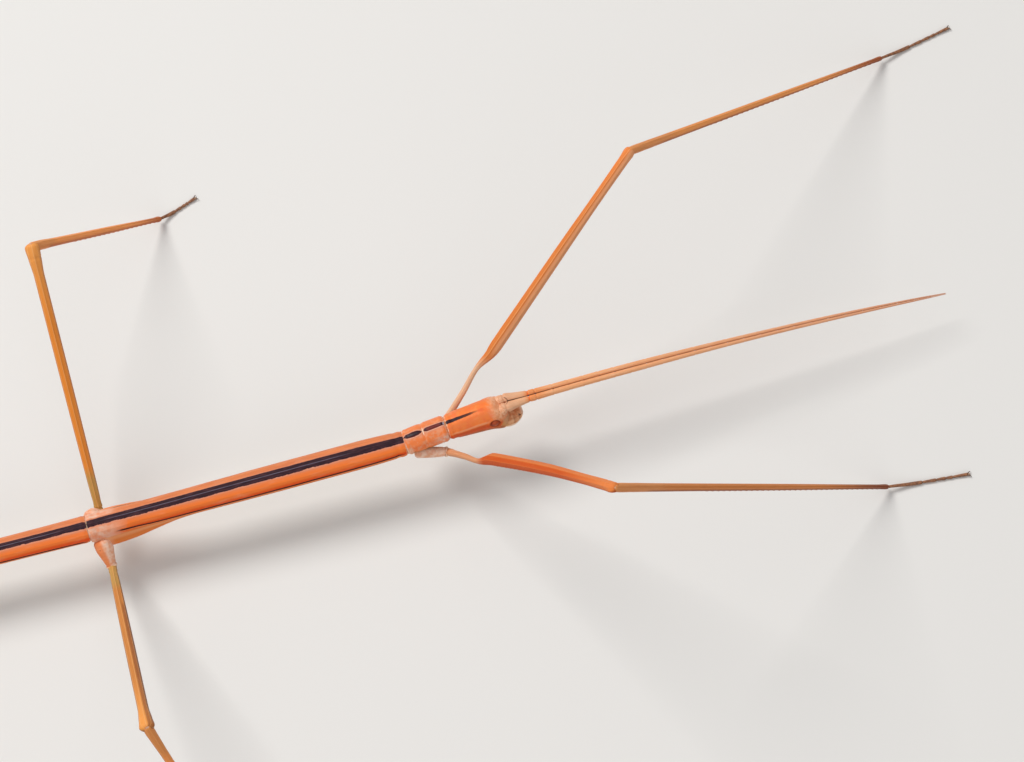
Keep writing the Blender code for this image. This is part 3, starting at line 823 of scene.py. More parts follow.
def mouth_paint():
    """The muzzle: tan and freckled, browner below, pale along its side, with a painted highlight at the lip.
    """
    paint = Paint("mouthpart_cuticle")
    angle, run = abs(paint.angle), paint.run
    mottle = paint.noise(0.9, 2).step(0.38, 0.62)
    paint.colour = paint.blend(mottle, tone(218, 144, 96), tone(240, 184, 138))
    waves = (run * 7.5 + paint.noise(0.8, 2) * 3).math("SINE").step(0.3, 0.95)
    bars = waves * angle.band(30, 84, 8)
    paint.lay(bars * 0.5 * run.step(1.2, 1.9), tone(166, 92, 58))
    olive = run.step(1, 0.5) * angle.band(60, 104, 10)
    paint.lay(olive * 0.5, tone(208, 160, 88))
    paint.lay(angle.band(90, 110, 4) * 0.85, tone(250, 218, 188))
    paint.lay(angle.step(112, 126) * 0.6, tone(186, 112, 72))
    # painted highlight on the lip at the muzzle's tip
    paint.lay(run.step(2.75, 3.05) * angle.step(124, 60) * 0.7, tone(246, 216, 192))
    dots = paint.cells(1).step(0.2, 0.12) * angle.step(94, 80)
    paint.lay(dots * 0.75, hue("brown"))
    return paint.finish(0.48, paint.noise(0.3, 2), 0.02)


def plain_paint(name, first, second, roughness, size=0.3):
    """A simple two-tone cuticle for small parts."""
    paint = Paint(name)
    paint.colour = paint.blend(paint.noise(size, 4).step(0.35, 0.65), first, second)
    return paint.finish(roughness, paint.noise(size * 0.4, 3), 0.02, specular=0.4)


# --- pieces ---------------------------------------------------------------------------------------

MESO_LINE = ((0, 60), (3.8, 64), (8, 75), (11, 76), (20, 75.5), (42, 74))
META_LINE = ((0, 77), (20, 79), (28, 82), (32, 84))
PLATE_LIPS = (0.07, 0.07)
SIDES = (("left", 1), ("right", -1))
SCAPE = 3.2
MUZZLE = 3.3
SOCKET = 1.25

# where these start in the head's own frame, the socket being the left one
MUZZLE_START = (6.95, 0, -0.8)
SOCKET_START = (6.85, 0.72, 0.84)
FEELER_START = (8.125, 0, 1.1)


def size(name):
    """A length that is set in the sidebar, in millimetres."""
    return getattr(bpy.context.scene.stick_insect_sizes, name) / MM


def share_curve(low, high, stops):
    """A curve from low to high, whose stops are at shares of the way."""
    return curve(*((mix(low, high, share), value) for share, value in stops))


def times(height, factor):
    """A curve made higher or lower by a factor."""
    return lambda run: height(run) * factor


def joint_run(length, count):
    """Stations along a plate that stops half a gap short of the joint at each end."""
    short = size("gap") / 2
    return stations(short, length - short, count, 0.1)


def shell(name, places, run, sides, section, paint, slot, node, lean=None):
    """One closed tube, as the piece that stands for a node."""
    bm = new_mesh()
    tube(bm, places, run, sides, section, lean)
    piece(name, bm, paint, slot, node)


def plate(name, node, places, run, sides, curves, paint, **shape):
    """A plate of the body. Its curves are those of its half width, top and bottom."""
    section = outline(*curves, ends=(run[0], run[-1]), **{"lips": PLATE_LIPS, **shape})
    shell(f"{name}_plate", places, run, sides, section, paint, "body_cuticle", node)


def long_ridges(run, a, length, line, keel, groove, rims):
    """What the two long plates share: keel, flanks, side groove with its rims, collars and belly.

    Keel is a (low, high, soft) stretch, and groove and rims are (low, high) stretches.
    """
    off = a - line(run)
    made = size("keel") * hump(a, 0, 2.6) * window(run, *keel)
    made = made + 0.035 * hump(a, 22, 3.2) + 0.03 * hump(a, 44, 4)
    made = made - size("groove") * hump(off, 0, 2) * window(run, *groove, 0.6)
    made = made + 0.04 * hump(off, 6.5, 2.6) * window(run, *rims, 0.6)
    made = made + 0.05 * (hump(run, 0.55, 0.25) + hump(run, length - 0.55, 0.25))
    return made + 0.06 * hump(a, 180, 4) - 0.04 * hump(a, 160, 6)


def mesothorax():
    """The long middle plate, with a flange low on each side before the middle legs."""
    length, line = MESOTHORAX, curve(*MESO_LINE)
    spread = curve((0, 0.1), (1, 0.55), (2.6, 1.1), (5.6, 1), (8.6, 0.58), (11.5, 0.16), (14, 0))

    def relief(run, turn):
        a = degrees(turn)
        shared = long_ridges(run, a, length, line, (2, 40, 1.5), (3.8, 41.3), (1.2, 41.5))
        dips = 0.05 * (hump(run, 1.15, 0.3) + hump(run, length - 1.15, 0.3))
        flange = spread(run) * (hump(a, 121, 17) + 0.3 * hump(a, 150, 20))
        waves = 0.02 * np.sin(run * 1.1 + 3 * np.sin(turn)) * hump(a, 45, 30)
        return shared - dips + flange + waves

    curves = (
        curve((0, 1.72), (1.3, 1.8), (3, 1.8), (6.7, 1.7), (12.6, 1.74), (26, 1.84), (35.7, 1.84),
              (39.9, 1.74), (42, 1.62)),
        curve((0, 1.52), (1.3, 1.58), (3, 1.6), (6.7, 1.55), (12.6, 1.56), (26, 1.62), (35.7, 1.62),
              (39.9, 1.56), (42, 1.46)),
        curve((0, 1.45), (3, 1.6), (6.7, 1.52), (26, 1.58), (35.7, 1.58), (39.9, 1.54), (42, 1.45)),
    )
    stripe = ((0, 15), (1, 16), (6, 17), (12, 18), (26, 17.5), (38, 17), (41.6, 15.5))
    paint = plate_paint(
        "mesothorax_cuticle", length, stripe, MESO_LINE, (3.8, 41.4),
        shine=(3, 34), pale_rear=5.6, flange=(-1, 12),
    )
    run = joint_run(length, 430)
    places = straight(WAIST, heading(*MESO_HEADING), run)
    plate("mesothorax", "mesothorax", places, run, 120, curves, paint, relief=relief)


def metathorax():
    """The rear plate with the median segment fused to it, marked off by a seam."""
    length, line = METATHORAX, curve(*META_LINE)
    seam = 13

    def relief(run, turn):
        a = degrees(turn)
        shared = long_ridges(run, a, length, line, (1.5, 30.5, 1), (1, 31.3), (0.8, 31.5))
        joint = -0.07 * hump(run, seam, 0.16) * rise(a, 120, 80)
        return shared + joint + 0.6 * hump(a, 118, 17) * hump(run, 8.4, 2.6)

    curves = (
        curve((0, 1.66), (5.8, 1.78), (8, 1.84), (11.2, 1.78), (19.2, 1.66), (28.8, 1.72), (31, 1.76),
              (32, 1.7)),
        curve((0, 1.45), (5.8, 1.56), (8, 1.6), (11.2, 1.56), (19.2, 1.52), (28.8, 1.54), (31, 1.56),
              (32, 1.5)),
        curve((0, 1.42), (8, 1.6), (11.2, 1.56), (19.2, 1.48), (31, 1.52), (32, 1.45)),
    )
    stripe = ((0, 15), (1, 16.5), (12.7, 16.5), (12.95, 4), (13.2, 16.5), (26, 15.5), (31.5, 15.5), (32, 14))
    paint = plate_paint("metathorax_cuticle", length, stripe, META_LINE, (1, 31.4), shine=(4, 28))
    splay = curve((0, 0), (5.8, 0.06), (8, 0.16), (11.2, 0.04), (14, 0))
    run = joint_run(length, 330)
    places = straight(LOIN, heading(*META_HEADING), run)
    plate("metathorax", "metathorax", places, run, 112, curves, paint, relief=relief, splay=splay)


def pronotum():
    """The short front plate, in two parts with a furrow between them."""

    def relief(run, turn):
        a = degrees(turn)
        furrow = -0.05 * hump(run, 2.77, 0.14) * (1 + 1.2 * rise(a, 30, 10)) * rise(a, 100, 60)
        boss = 0.09 * hump(run, 1.5, 0.8) * hump(a, 0, 11)
        bar = 0.05 * window(run, 3.1, 5.4, 0.3) * hump(a, 0, 7)
        margin = 0.07 * hump(a, 80, 4) * window(run, 0.5, 5.3, 0.3)
        dents = -0.06 * hump(a, 42, 12) * (hump(run, 1.4, 0.6) + hump(run, 4.1, 0.7))
        collar = 0.07 * (hump(run, 0.4, 0.2) + hump(run, 5.35, 0.2))
        pit = -0.1 * hump(run, 0.9, 0.25) * hump(a, 97, 6)
        return furrow + boss + bar + margin + dents + collar + pit

    curves = (
        curve((0, 1.52), (0.6, 1.68), (2.1, 1.74), (2.77, 1.68), (3.2, 1.75), (5, 1.75), (5.75, 1.6)),
        curve((0, 1.45), (0.6, 1.56), (2.1, 1.6), (2.77, 1.55), (3.2, 1.62), (5, 1.62), (5.75, 1.5)),
        curve((0, 1.4), (0.6, 1.5), (2.1, 1.55), (5, 1.52), (5.75, 1.42)),
    )
    run = joint_run(PROTHORAX, 120)
    places = straight(COLLAR, heading(*PRO_HEADING), run, PRO_ROLL)
    plate("pronotum", "prothorax", places, run, 112, curves, pronotum_paint(), relief=relief)


def abdomen_joints():
    """Each segment's number from the front, its length, its heading and the joint at its rear."""
    joint, rear = LOIN, len(ABDOMEN) - 1
    for i, length in enumerate(ABDOMEN):
        way = tuple(mix(a, b, i / rear) for a, b in zip(*ABDOMEN_HEADINGS))
        joint = joint - length * heading(*way)
        yield i, length, way, joint


def abdomen():
    """Nine ringed segments, each a back plate that folds over a softer belly plate."""
    for i, length, way, joint in abdomen_joints():
        abdomen_segment(i, joint, heading(*way), length)


def abdomen_segment(i, start, forward, length):
    front, rear = ABDOMEN_WIDTHS[i], ABDOMEN_WIDTHS[i + 1]

    def relief(run, turn):
        a = degrees(turn)
        keel = 0.05 * hump(a, 0, 3.2)
        flank = 0.03 * hump(a, 24, 4) + 0.03 * hump(a, 50, 4)
        fold = -0.1 * hump(a, 96, 2.8) + 0.06 * hump(a, 88, 4)
        hem = 0.07 * hump(run, 0.45, 0.3) - 0.06 * hump(run, 1, 0.35)
        ruff = -0.04 * hump(run, length - 0.9, 0.25) * rise(a, 110, 60)
        belly = 0.05 * hump(a, 180, 5) - 0.04 * hump(a, 150, 7)
        return keel + flank + fold + hem + ruff + belly

    stops = ((0, rear * 0.99), (0.08, rear * 1.03), (0.5, mix(rear, front, 0.5)), (0.92, front * 0.98),
             (1, front * 0.94))
    half = share_curve(0, length, stops)
    curves = (half, times(half, 0.87), times(half, 0.84))
    wide = 17 - 0.7 * i
    stripe = ((0, wide * 0.55), (0.35, wide * 0.9), (1.2, wide), (length * 0.5, wide * 0.86),
              (length - 0.5, wide), (length, wide * 0.8))
    line, line_run, shine = ((0, 72), (length, 72)), (0.5, length - 0.5), (1.5, length - 1.5)
    name = f"abdomen_{i + 2:02d}"
    paint = plate_paint(f"{name}_cuticle", length, stripe, line, line_run, shine)
    run = joint_run(length, int(60 + 6 * length))
    lips = (0.5, PLATE_LIPS[1]) if i == len(ABDOMEN) - 1 else PLATE_LIPS
    plate(name, name, straight(start, forward, run), run, 96, curves, paint, relief=relief, lips=lips)


def tail():
    """The boat-shaped plate under the tail, and two leaf-like cerci."""
    *_, (_, _, way, end) = abdomen_joints()
    place = Matrix.Translation(end) @ facing(heading(*way))
    run = stations(0, OPERCULUM, 90, 0.3)
    keel = curve((0, 0.26), (1.4, 0.62), (3.5, 0.98), (6.5, 1.12), (9.5, 1.05), (11, 0.75))
    depth = curve((0, 0.3), (1.4, 0.45), (3.5, 0.6), (6.5, 0.62), (9.5, 0.45), (11, 0.2))

    def relief(run, turn):
        a = degrees(turn)
        return 0.07 * hump(a, 180, 7) + 0.03 * hump(a, 150, 5) + 0.02 * hump(a, 120, 5)

    section = outline(keel, level(0.15), depth, relief=relief, ends=(0, OPERCULUM), lips=(0.12, 0.12))
    sag = curve((0, -1.54), (5, -1.62), (11, -1.72))
    spine = [place @ moved(x + 1.6, 0, float(sag(x))) for x in run]
    tint = Tint(tone(214, 140, 84), tone(222, 120, 56), tone(200, 96, 40), tone(168, 96, 48), hue("cream"))
    paint = limb_paint("operculum_cuticle", OPERCULUM, tint, (180, 150, 120))
    shell("operculum_blade", spine, run, 72, section, paint, "body_cuticle", "operculum")

    tint = Tint(tone(226, 160, 104), hue("straw"), tone(206, 130, 66), tone(178, 108, 48), hue("cream"))
    paint = limb_paint("cercus_cuticle", CERCUS, tint, (0, 60, 120))
    run = stations(0, CERCUS, 80, 0.2)
    blade = outline(
        curve((0, 0.26), (1.4, 0.45), (4.5, 0.62), (7.4, 0.5), (CERCUS, 0.14)),
        curve((0, 0.24), (4.5, 0.22), (CERCUS, 0.12)),
        relief=lambda x, turn: 0.05 * hump(degrees(turn), 0, 14) + 0.05 * hump(degrees(turn), 180, 14),
        ends=(0, CERCUS),
        lips=(0.1, 0.12),
    )
    for side, sign in SIDES:
        stem = place @ moved(0, 0.48 * sign, 0.15) @ facing(-heading(-10 * sign, 2))
        spine = [stem @ moved(x, 0, 0) for x in run]
        shell(f"cercus_blade_{side}", spine, run, 40, blade, paint, "limb_cuticle", f"cercus_{side}")


def head_capsule():
    """The head: a long barrel, widest at the eyes, with rimmed eye sockets and a leaning face."""
    front = HEAD + 0.25
    rounding = mix(FACE, front, np.sin(np.linspace(0, np.pi / 2, 60)))
    run = np.concatenate((joint_run(FACE, 120)[:-1], rounding))

    def relief(run, turn):
        a = degrees(turn)
        across = (a - EYE_ANGLE) * DEGREE / EYE_PIT[1]
        ring = np.hypot((run - EYE_AT[0]) / EYE_PIT[0], across)
        socket = 0.07 * hump(ring, 1.22, 0.2) - 0.3 * rise(ring, 1.08, 0.6)
        suture = -0.035 * hump(a, 0, 2) * window(run, 0.6, 5.6, 0.4)
        flanks = 0.03 * hump(a, 24, 5) * window(run, 0.8, 5, 0.5)
        cheek = 0.05 * hump(a, 67, 4) * window(run, 0.6, 5.2, 0.4)
        jaw = 0.34 * hump(a, 124, 24) * hump(run, 7.3, 1)
        brow = 0.14 * hump(a, 48, 22) * hump(run, 7.75, 0.55)
        frons = -0.1 * hump(a, 0, 11) * rise(run, 6.6, 7.4)
        collar = 0.06 * hump(run, 0.45, 0.2) - 0.05 * hump(run, 0.95, 0.3)
        gula = -0.05 * hump(a, 180, 16) * window(run, 1, 6.5, 0.6)
        return socket + suture + flanks + cheek + jaw + brow + frons + collar + gula

    section = outline(
        curve((0, 1.52), (0.8, 1.72), (3.2, 1.9), (5.3, 2.02), (6.4, 2.08), (7.2, 2), (7.7, 1.86),
              (front, 1.66)),
        curve((0, 1.46), (0.8, 1.62), (3.2, 1.8), (5.3, 1.96), (6.4, 1.94), (7.2, 1.72), (7.7, 1.52),
              (front, 1.3)),
        curve((0, 1.4), (0.8, 1.6), (3.2, 1.84), (5.3, 2.02), (6.4, 2.06), (7.2, 2), (7.7, 1.88),
              (front, 1.66)),
        relief=relief,
        ends=(run[0], front),
        lips=(0.07, 1.15),
        roll_in=(1, 0.92),
    )

    def face_lean(run, z):
        return -0.27 * z * rise(run, 6.2, 8.2)

    twist = curve((0, PRO_ROLL - HEAD_ROLL), (4, 0))
    places = [HEAD_PLACE @ turned(float(twist(x)), "X") @ moved(x, 0, 0) for x in run]
    shell("head_capsule", places, run, 128, section, head_paint(), "body_cuticle", "head", face_lean)


def eyes():
    """Two faceted domes set in the head's sockets."""
    paint = eye_paint()
    depth = bpy.context.scene.stick_insect_sizes.facet
    coarse = bmesh.new()
    bmesh.ops.create_icosphere(coarse, subdivisions=4, radius=0.5)
    middles = KDTree(len(coarse.verts))
    for k, v in enumerate(coarse.verts):
        middles.insert(v.co, k)
    middles.balance()
    coarse.free()
    for side, sign in SIDES:
        bm = new_mesh()
        place = HEAD_PLACE @ moved(EYE_AT[0], EYE_AT[1] * sign, EYE_AT[2]) @ turned(-EYE_YAW * sign, "Z")
        skin = bm.verts.layers.float_vector["skin"]
        for v in bmesh.ops.create_icosphere(bm, subdivisions=6, radius=0.5)["verts"]:
            apart = middles.find(v.co)[2]
            v[skin] = v.co * 2
            bulge = 1 - depth * (apart / FACET) ** 2
            v.co = place @ Vector(c * s * bulge for c, s in zip(v.co, EYE_SIZE))
        piece(f"eye_dome_{side}", bm, paint, "eye", f"eye_{side}")


def mouthparts():
    """The muzzle, whose grooves mark off shield, lip and jaws, with palps folded below."""
    bm = new_mesh()
    run = stations(0, MUZZLE, 90, 0.2)

    def relief(run, turn):
        a = degrees(turn)
        jaws = -0.11 * hump(a, 47, 5) * window(run, 1.1, 3.1, 0.2)
        shield = -0.1 * hump(run, 1.22, 0.1) * rise(a, 62, 44)
        lip = -0.11 * hump(run, 2.02, 0.1) * rise(a, 62, 44)
        notch = -0.1 * hump(a, 0, 9) * rise(run, 2.6, 3.3)
        edge = 0.09 * hump(a, 112, 9) * window(run, 0.9, 3.1, 0.3)
        chin = -0.1 * hump(a, 140, 5) - 0.08 * hump(a, 180, 5) * rise(run, 2, 2.5)
        return jaws + shield + lip + notch + edge + chin

    section = outline(
        curve((0, 2), (0.6, 2.1), (1.2, 2.04), (1.8, 1.9), (2.3, 1.62), (2.8, 1.22), (3.1, 0.86),
              (MUZZLE, 0.62)),
        curve((0, 0.9), (1.6, 0.8), (2.5, 0.55), (MUZZLE, 0.26)),
        curve((0, 1.05), (1.6, 0.98), (2.5, 0.74), (MUZZLE, 0.36)),
        relief=relief,
        ends=(0, MUZZLE),
        lips=(0.1, 0.3),
    )
    start = HEAD_PLACE @ Vector(MUZZLE_START)
    way = HEAD_PLACE.to_3x3() @ Vector((1, 0, -0.18))
    tube(bm, straight(start, way, run, HEAD_ROLL), run, 96, section)
    long_palp = ((8, 0.85, -1.75), (8.5, 0.98, -2.05), (9.1, 0.86, -2.12), (9.7, 0.58, -2.02))
    short_palp = ((8.6, 0.28, -1.9), (9, 0.4, -2.06), (9.5, 0.3, -2.02))
    for _, sign in SIDES:
        palp(bm, sign, long_palp, (0, 0.16, 0.34, 0.58, 0.78, 1), 0.15)
        palp(bm, sign, short_palp, (0, 0.3, 0.62, 1), 0.12)
    piece("mouthparts_set", bm, mouth_paint(), "joint_skin", "mouthparts")


def palp(bm, sign, stops, joints, radius):
    """A jointed palp: a string of slender segments, each widening to its end."""
    steps = 120
    points = bent(HEAD_PLACE, [(x, y * sign, z) for x, y, z in stops], steps + 1)
    for begin, end in zip(joints, joints[1:]):
        spots = points[max(0, round(begin * steps) - 1) : round(end * steps) + 1]
        length, run = path_run(spots)
        half = share_curve(0, length, ((0, radius * 0.7), (0.75, radius), (1, radius * 0.9)))
        section = outline(half, half, ends=(0, length), lips=(0.06, 0.08))
        tube(bm, along_path(spots, HEAD_ROLL), run, 20, section)


def feeler_path(run):
    """The line between the two feelers: level at the head, drooping to the tips."""
    share = np.clip(run / FEELER, -0.02, 1)
    azimuth, elevation = (np.radians(mix(a, b, share)) for a, b in zip(*FEELER_HEADINGS))
    flat = np.cos(elevation)
    ways = np.stack((np.cos(azimuth) * flat, np.sin(azimuth) * flat, np.sin(elevation)), axis=-1)
    path = np.cumsum(ways * np.gradient(run)[:, None], axis=0)
    start = HEAD_PLACE @ Vector(FEELER_START)
    origin = path[np.argmin(np.abs(run))]
    lift = 0.1 * np.exp(-np.maximum(run, 0) / 9)
    return path - origin + np.array(start) + np.stack((0 * lift, 0 * lift, lift), axis=-1)


def feelers():
    """Two feelers held side by side: a broad scape, a short pedicel, then a long jointed whip."""
    whip, joints = 4.15, [6.6]  # where the whip starts, and its joints
    while joints[-1] < FEELER - 2:
        joints.append(joints[-1] + 2 + 0.01 * joints[-1])
    run = np.concatenate((np.linspace(-0.7, 7, 110)[:-1], np.linspace(7, FEELER, 420)))
    path = feeler_path(run)
    width = curve(
        (-0.7, 0.5), (-0.2, 0.66), (0.3, 0.68), (1.2, 0.58), (3, 0.43), (3.3, 0.41), (4, 0.42),
        (4.3, 0.41), (7, 0.375), (17.5, 0.335), (31, 0.25), (47, 0.18), (58, 0.1), (FEELER, 0.045),
    )

    def height(x):
        return width(x) * np.where(x < SCAPE, 0.88, 1)

    def relief(run, turn):
        made = -0.1 * (hump(run, SCAPE, 0.1) + hump(run, whip, 0.08)) - 0.12 * hump(run, 0, 0.14)
        for joint in joints:
            made = made - 0.12 * width(run) * hump(run, joint, 0.09)
            made = made + 0.06 * width(run) * hump(run, joint - 0.25, 0.15)
        return made + 0.035 * hump(degrees(turn), 60, 9) * rise(run, 4, 2.5)

    section = outline(width, height, relief=relief, ends=(run[0], run[-1]), lips=(0.2, 0.05))
    roll = curve((0, HEAD_ROLL), (20, 0))
    for side, sign in SIDES:
        places = []
        for x, spot, ahead in zip(run, path, np.gradient(path, axis=0)):
            apart = sign * (float(width(x)) + 0.012)
            turn = facing(Vector(ahead), float(roll(x)))
            places.append(moved(*spot) @ turn @ moved(0, apart, 0))
        paint = feeler_paint(side, -sign)
        shell(f"feeler_{side}", places, run, 32, section, paint, "feeler_cuticle", f"antenna_{side}")


def antenna_sockets():
    """Raised rings on the front of the head, from which the feelers come."""
    bm = new_mesh()
    run = stations(0, SOCKET, 20, 0.14)
    width = curve((0, 0.7), (0.6, 0.76), (SOCKET, 0.68))
    height = curve((0, 0.56), (0.6, 0.62), (SOCKET, 0.6))
    section = outline(width, height, ends=(0, SOCKET), lips=(0.3, 0.3))
    for _, sign in SIDES:
        start = HEAD_PLACE @ Vector((SOCKET_START[0], SOCKET_START[1] * sign, SOCKET_START[2]))
        way = HEAD_PLACE.to_3x3() @ Vector((1, 0.03 * sign, 0.16))
        tube(bm, straight(start, way, run, HEAD_ROLL), run, 40, section)
    paint = plain_paint("socket_cuticle", tone(226, 156, 112), tone(240, 186, 146), 0.5, 0.35)
    piece("feeler_sockets", bm, paint, "body_cuticle")


# a limb's half width and half depth, at shares of its length
FORE_FEMUR = (
    ((0, 0.52), (0.03, 0.5), (0.06, 0.44), (0.12, 0.4), (0.2, 0.34), (0.245, 0.54), (0.3, 0.8),
     (0.45, 0.76), (0.62, 0.71), (0.84, 0.62), (0.94, 0.64), (0.975, 0.66), (1, 0.56)),
    ((0, 0.48), (0.12, 0.38), (0.2, 0.33), (0.245, 0.54), (0.3, 0.78), (0.45, 0.74), (0.62, 0.68),
     (0.84, 0.6), (0.95, 0.64), (1, 0.55)),
)
REAR_FEMUR = (
    ((0, 0.56), (0.035, 0.54), (0.06, 0.5), (0.1, 0.53), (0.5, 0.62), (0.88, 0.64), (0.955, 0.82),
     (0.985, 0.84), (1, 0.68)),
    ((0, 0.54), (0.06, 0.5), (0.5, 0.6), (0.88, 0.62), (0.96, 0.74), (1, 0.6)),
)
FORE_TIBIA = ((0, 0.44), (0.006, 0.52), (0.03, 0.56), (0.06, 0.54), (0.12, 0.5), (0.6, 0.38), (0.96, 0.28),
              (0.99, 0.34), (1, 0.3))
REAR_TIBIA = ((0, 0.5), (0.012, 0.58), (0.04, 0.62), (0.1, 0.58), (0.16, 0.52), (0.6, 0.42), (0.95, 0.3),
              (0.985, 0.38), (1, 0.32))

# how far a thigh and a shin reach past the joints at their two ends
FEMUR_PAST, TIBIA_PAST = (0.25, 0.42), (0.35, 0.12)
FEMUR_RIDGES, TIBIA_RIDGES = (0, 48, 100, 152), (0, 45, 135)


def femur_tint(name):
    """The colours of a thigh, whose middle is set in the sidebar."""
    if name == "fore_right":
        return Tint(tone(222, 156, 112), hue("deep_thigh"), tone(232, 130, 62), tone(176, 66, 16),
                    tone(226, 128, 62), 0.2)
    if name == "fore_left":
        return Tint(tone(234, 188, 152), hue("fore_thigh"), tone(232, 130, 62), tone(206, 100, 40),
                    tone(250, 180, 116), 0.2)
    middle, shade = hue("thigh"), tone(196, 108, 42)
    # painted shade: the right middle thigh gets darker copies of the thigh's middle and shade colours
    if name == "mid_right":
        middle, shade = tone(204, 128, 60), tone(150, 90, 44)
    return Tint(tone(190, 146, 76), middle, tone(240, 156, 76), shade, tone(246, 180, 112))


def tibia_tint(name):
    """The colours of a shin, whose middle is set in the sidebar except on the right fore leg."""
    base, line = tone(226, 144, 82), tone(244, 170, 106)
    if name == "fore_right":
        return Tint(base, tone(222, 132, 66), tone(160, 84, 52), tone(124, 58, 32), line)
    if name == "fore_left":
        return Tint(base, hue("fore_shin"), tone(190, 106, 62), tone(146, 70, 36), line)
    return Tint(tone(232, 146, 76), hue("shin"), tone(222, 128, 70), tone(180, 90, 44), tone(248, 174, 104))


def coxae():
    """The stubs that carry the legs, sunk into the thorax, with a rolled white ring at the hip."""
    for name, leg in LEGS.items():
        way = (leg.hip - leg.root).normalized()
        reach = (leg.hip - leg.root).length
        high = reach + 0.1
        if name.startswith("fore"):
            low = -0.55
            half = curve((low, 0.7), (0, 0.72), (reach * 0.5, 0.7), (reach * 0.85, 0.64), (high, 0.64))
        else:
            low = -1.1
            half = curve((low, 1.16), (0, 1.18), (reach * 0.45, 0.94), (reach * 0.8, 0.72), (high, 0.66))

        def relief(run, turn, reach=reach):
            a = degrees(turn)
            ring = 0.05 * hump(run, reach - 0.14, 0.14) - 0.05 * hump(run, reach - 0.45, 0.14)
            seam = 0.04 * hump(a, 50, 9) - 0.05 * hump(a, 90, 8)
            return ring + seam * window(run, 0.2, reach - 0.6, 0.3)

        run = stations(low, high, 60, 0.16)
        section = outline(half, half, relief=relief, ends=(low, high), lips=(0.5, 0.16))
        shell(f"coxa_stub_{name}", straight(leg.root, way, run), run, 40, section,
              coxa_paint(name, reach), "joint_skin", f"coxa_{name}")


def ribbed(angles, height, length, tooth):
    """The relief of a limb: ridges at some angles, hollowed between, the lowest ones toothed."""

    def relief(run, turn):
        a = degrees(turn)
        fade = window(run, length * 0.05, length * 0.985, length * 0.02)
        made = -0.45 * height * fade * np.ones_like(run)
        for at in angles:
            made = made + 1.3 * height * hump(a, at, 9) * fade
        row = tooth * teeth(run, 1.15) * hump(a, angles[-1], 6)
        return made + row * window(run, length * 0.3, length * 0.97, 0.6)

    return relief


def femora():
    """The thighs: ridged, waisted at the trochanter, the fore pair bent to clear the head."""
    # faces in another colour: the left fore thigh's paler right flank is its own colour, the right fore
    # thigh's lighter upper face is painted light, and the right middle thigh's darker face is painted shade
    face_tints_and_shading = {
        "fore_left": (-100, -18, tone(232, 164, 118)),
        "fore_right": (-8, 60, tone(226, 128, 62)),
        "mid_right": (16, 120, tone(150, 84, 48)),
    }
    for name, leg in LEGS.items():
        fore = name.startswith("fore")
        knee = joint_points(leg)[0]
        length = (knee - leg.hip).length
        low, high = -FEMUR_PAST[0], length + FEMUR_PAST[1]
        half, depth = (share_curve(low, high, stops) for stops in (FORE_FEMUR if fore else REAR_FEMUR))
        ribs = ribbed(FEMUR_RIDGES, size("rib"), length, size("tooth"))

        def relief(run, turn, ribs=ribs, length=length, fore=fore):
            band = -0.07 * hump(run, 0.75, 0.1) + 0.03 * hump(run, 1, 0.15)
            lobe = 0.1 * hump(degrees(turn), 95, 26) * hump(run, length - 0.2, 0.7)
            crease = -0.05 * hump(run, length - 1.5, 0.16) * hump(degrees(turn), 40, 50)
            slim = rise(run, 0.26 * length, 0.18 * length) if fore else 0
            return ribs(run, turn) * (1 - 0.8 * slim) + band + lobe + crease

        run = stations(low, high, 300, 0.3)
        section = outline(half, depth, relief=relief, ends=(low, high), lips=(0.2, 0.42))
        line = straight(leg.hip, (knee - leg.hip).normalized(), run)
        bow = curve(*leg.bow)(run / length)
        places = [place @ moved(0, BOW_ASIDE * off, BOW_UP * off) for place, off in zip(line, bow)]
        tint, face_tint_and_shading = femur_tint(name), face_tints_and_shading.get(name)
        paint = limb_paint(f"femur_{name}_cuticle", length, tint, FEMUR_RIDGES, face_tint_and_shading=face_tint_and_shading)
        shell(f"femur_shell_{name}", places, run, 56, section, paint, "limb_cuticle", f"femur_{name}")


def tibiae():
    """The shins: slender, four-ridged, with a bent head in the knee and small teeth below."""
    for name, leg in LEGS.items():
        knee, ankle, _ = joint_points(leg)
        length = (ankle - knee).length
        low, high = -TIBIA_PAST[0], length + TIBIA_PAST[1]
        half = share_curve(low, high, FORE_TIBIA if name.startswith("fore") else REAR_TIBIA)
        run = stations(low, high, 300, 0.25)
        relief = ribbed(TIBIA_RIDGES, 0.7 * size("rib"), length, 0.7 * size("tooth"))
        section = outline(half, half, relief=relief, ends=(low, high), lips=(0.3, 0.14))
        places = straight(knee, (ankle - knee).normalized(), run)
        paint = limb_paint(f"tibia_{name}_cuticle", length, tibia_tint(name), TIBIA_RIDGES, 0.2, (48, 96))
        shell(f"tibia_shell_{name}", places, run, 48, section, paint, "limb_cuticle", f"tibia_{name}")


CLAW = 0.75
TARSUS_JOINTS = (0, 0.42, 0.58, 0.69, 0.77, 0.94)
TARSUS_HEIGHT = curve(
    (-0.05, 1), (0, 0.92), (0.1, 0.74), (0.28, 0.36), (0.42, 0.27), (0.77, 0.25), (0.94, 0.3)
)


